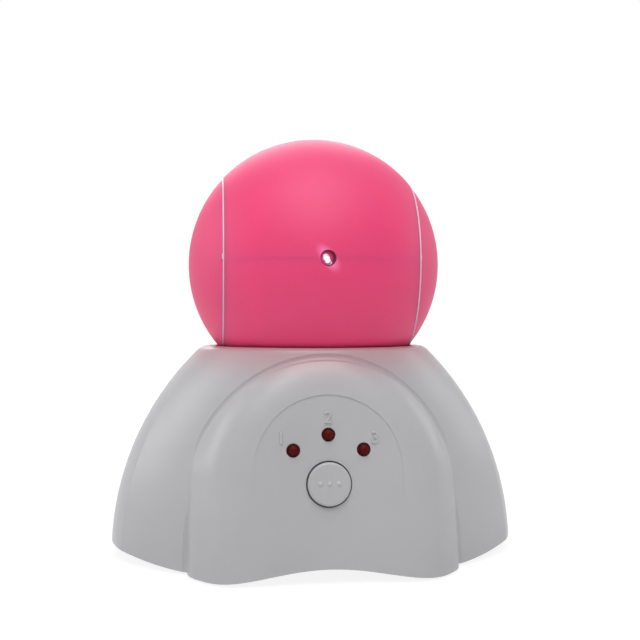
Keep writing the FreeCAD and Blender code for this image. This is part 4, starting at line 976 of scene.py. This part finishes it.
def seam_key(name, side, facing):
    """A patch on the ball's surface: side is left or right (-1, 1), facing is front or back (-1, 1)."""
    patch = bmesh.new()
    grid = []
    for i in range(KEY_ROWS + 1):
        height = KEY_HALF_HEIGHT * (2 * i / KEY_ROWS - 1)
        bulge = math.sqrt(max(0.0, 1 - (height / KEY_HALF_HEIGHT) ** 4))
        row = []
        for j in range(KEY_COLUMNS + 1):
            across = cap_edge - KEY_OVERLAP + KEY_WIDTH * bulge * j / KEY_COLUMNS
            forward = math.sqrt((BALL_RADIUS + KEY_PROUD) ** 2 - across ** 2 - (height + KEY_RISE) ** 2)
            spot = (side * across, facing * forward, BALL_CENTRE.z + height + KEY_RISE)
            row.append(patch.verts.new(spot))
        grid.append(row)
    for low_row, high_row in zip(grid, grid[1:]):
        for j in range(KEY_COLUMNS):
            patch.faces.new((low_row[j], low_row[j + 1], high_row[j + 1], high_row[j]))
    bmesh.ops.remove_doubles(patch, verts=patch.verts, dist=WELD)
    bmesh.ops.recalc_face_normals(patch, faces=patch.faces)
    patch.faces.ensure_lookup_table()
    if patch.faces[0].normal.y * facing < 0:
        bmesh.ops.reverse_faces(patch, faces=patch.faces)
    bmesh.ops.solidify(patch, geom=patch.faces[:], thickness=KEY_THICKNESS)
    bmesh.ops.recalc_face_normals(patch, faces=patch.faces)
    # The key's lavender tint is painted pink light on white plastic.
    return finish_mesh(name, patch, cheek_white_painted_pink_light)


for side, side_name in SIDES:
    for facing, facing_name in FACINGS:
        key = seam_key(f"seam_key_{side_name}_{facing_name}", side, facing)
        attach(key, "turret")


# %% [markdown]
# ## Thumb ribs of the battery door
# The door has a few low ribs where a thumb pushes it off. They repeat at a fixed step, so a tree makes them:
# one rib is a round bar, half sunk in the door, and the same bar is put on every point of a row.

# %% Thumb ribs
RIB_COUNT = 6
RIB_STEP = 0.0016
RIB_MARGIN = 0.004        # from the door's front edge to the first rib
RIB_LENGTH, RIB_WIDTH = 0.011, 0.0007
RIB_PROUD = 0.0005


def rib_tree():
    """Puts a half-round rib, which lies along x, on every point."""
    tree, size = new_tree("ribs", Length="Float", Width="Float", Height="Float")
    bar = add(tree, "GeometryNodeMeshCylinder", {"Vertices": 16, "Radius": 0.5, "Depth": 1.0})
    lying = add(tree, "GeometryNodeTransform",
                {"Geometry": bar.outputs["Mesh"], "Rotation": (0, math.pi / 2, 0)})
    full_height = add(tree, "ShaderNodeMath", {0: size["Height"], 1: 2.0}, operation="MULTIPLY")
    stretch = add(tree, "ShaderNodeCombineXYZ",
                  {"X": size["Length"], "Y": size["Width"], "Z": full_height.outputs["Value"]})
    ribs = add(tree, "GeometryNodeInstanceOnPoints",
               {"Points": size["Points"], "Instance": lying.outputs["Geometry"],
                "Scale": stretch.outputs["Vector"]})
    close_tree(tree, ribs.outputs["Instances"], size["Finish"])
    return tree


door_low, door_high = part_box("battery_door")
door_middle_x = (door_low.x + door_high.x) / 2
rib_row = [(door_middle_x, door_low.y + RIB_MARGIN + RIB_STEP * i, door_low.z) for i in range(RIB_COUNT)]
thumb_ribs = grown("door_thumb_ribs", rib_row, [], rib_tree(),
                   {"Length": RIB_LENGTH, "Width": RIB_WIDTH, "Height": RIB_PROUD, "Finish": housing_white})
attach(thumb_ribs, "battery_cover")


# %% [markdown]
# ## Solder joints on the control board
# Every lead of a part on the board ends in a small drop of solder, and no two are the same size. A tree puts
# a ball, half sunk in the board, on each point and varies its size from a fixed seed, so each run of this
# file gives the same board. They lie in two rows behind the lamps and the button.

# %% Solder joints
JOINT_COUNT, JOINT_STEP = 8, 0.0025       # in each of the two rows
JOINT_ROW = 0.004         # of each row from the board's middle
JOINT_RADIUS, JOINT_SPREAD, JOINT_SEED = 0.0007, 0.35, 3
JOINT_CRISP = 80.0
FACE_DEPTH = 0.0002       # vertices this close to the hindmost one lie on the back face
solder = metal("tin solder", "#B4B8BB", "#D0D3D5", 0.24, 0.0005, 0.000004)


def joint_tree():
    """Puts a drop on every point; the spread is how much smaller than full size it may be."""
    tree, size = new_tree("solder joints", Radius="Float", Spread="Float", Seed="Int")
    drop = add(tree, "GeometryNodeMeshUVSphere", {"Segments": 10, "Rings": 6, "Radius": size["Radius"]})
    least = add(tree, "ShaderNodeMath", {0: 1.0, 1: size["Spread"]}, operation="SUBTRACT")
    share = add(tree, "FunctionNodeRandomValue",
                {"Min": least.outputs["Value"], "Max": 1.0, "Seed": size["Seed"]}, data_type="FLOAT")
    drops = add(tree, "GeometryNodeInstanceOnPoints",
                {"Points": size["Points"], "Instance": drop.outputs["Mesh"], "Scale": share.outputs[1]})
    close_tree(tree, drops.outputs["Instances"], size["Finish"])
    return tree


def board_back():
    """A frame on the middle of the board's back face, with z square out of it."""
    spots = corners_of("control_board")
    depth = spots @ np.array(PANEL_OUT)
    face = spots[depth < depth.min() + FACE_DEPTH]
    middle = Vector((face.min(0) + face.max(0)) / 2)
    return panel_place(middle) @ Matrix.Rotation(math.pi, 4, "Y")


on_back = board_back()
joint_rows = [on_back @ Vector((JOINT_STEP * (i - (JOINT_COUNT - 1) / 2), row, 0))
              for i in range(JOINT_COUNT) for row in (-JOINT_ROW, JOINT_ROW)]
joints_piece = grown("solder_joints", joint_rows, [], joint_tree(),
                     {"Radius": JOINT_RADIUS, "Spread": JOINT_SPREAD, "Seed": JOINT_SEED, "Finish": solder},
                     JOINT_CRISP)
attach(joints_piece, "base")
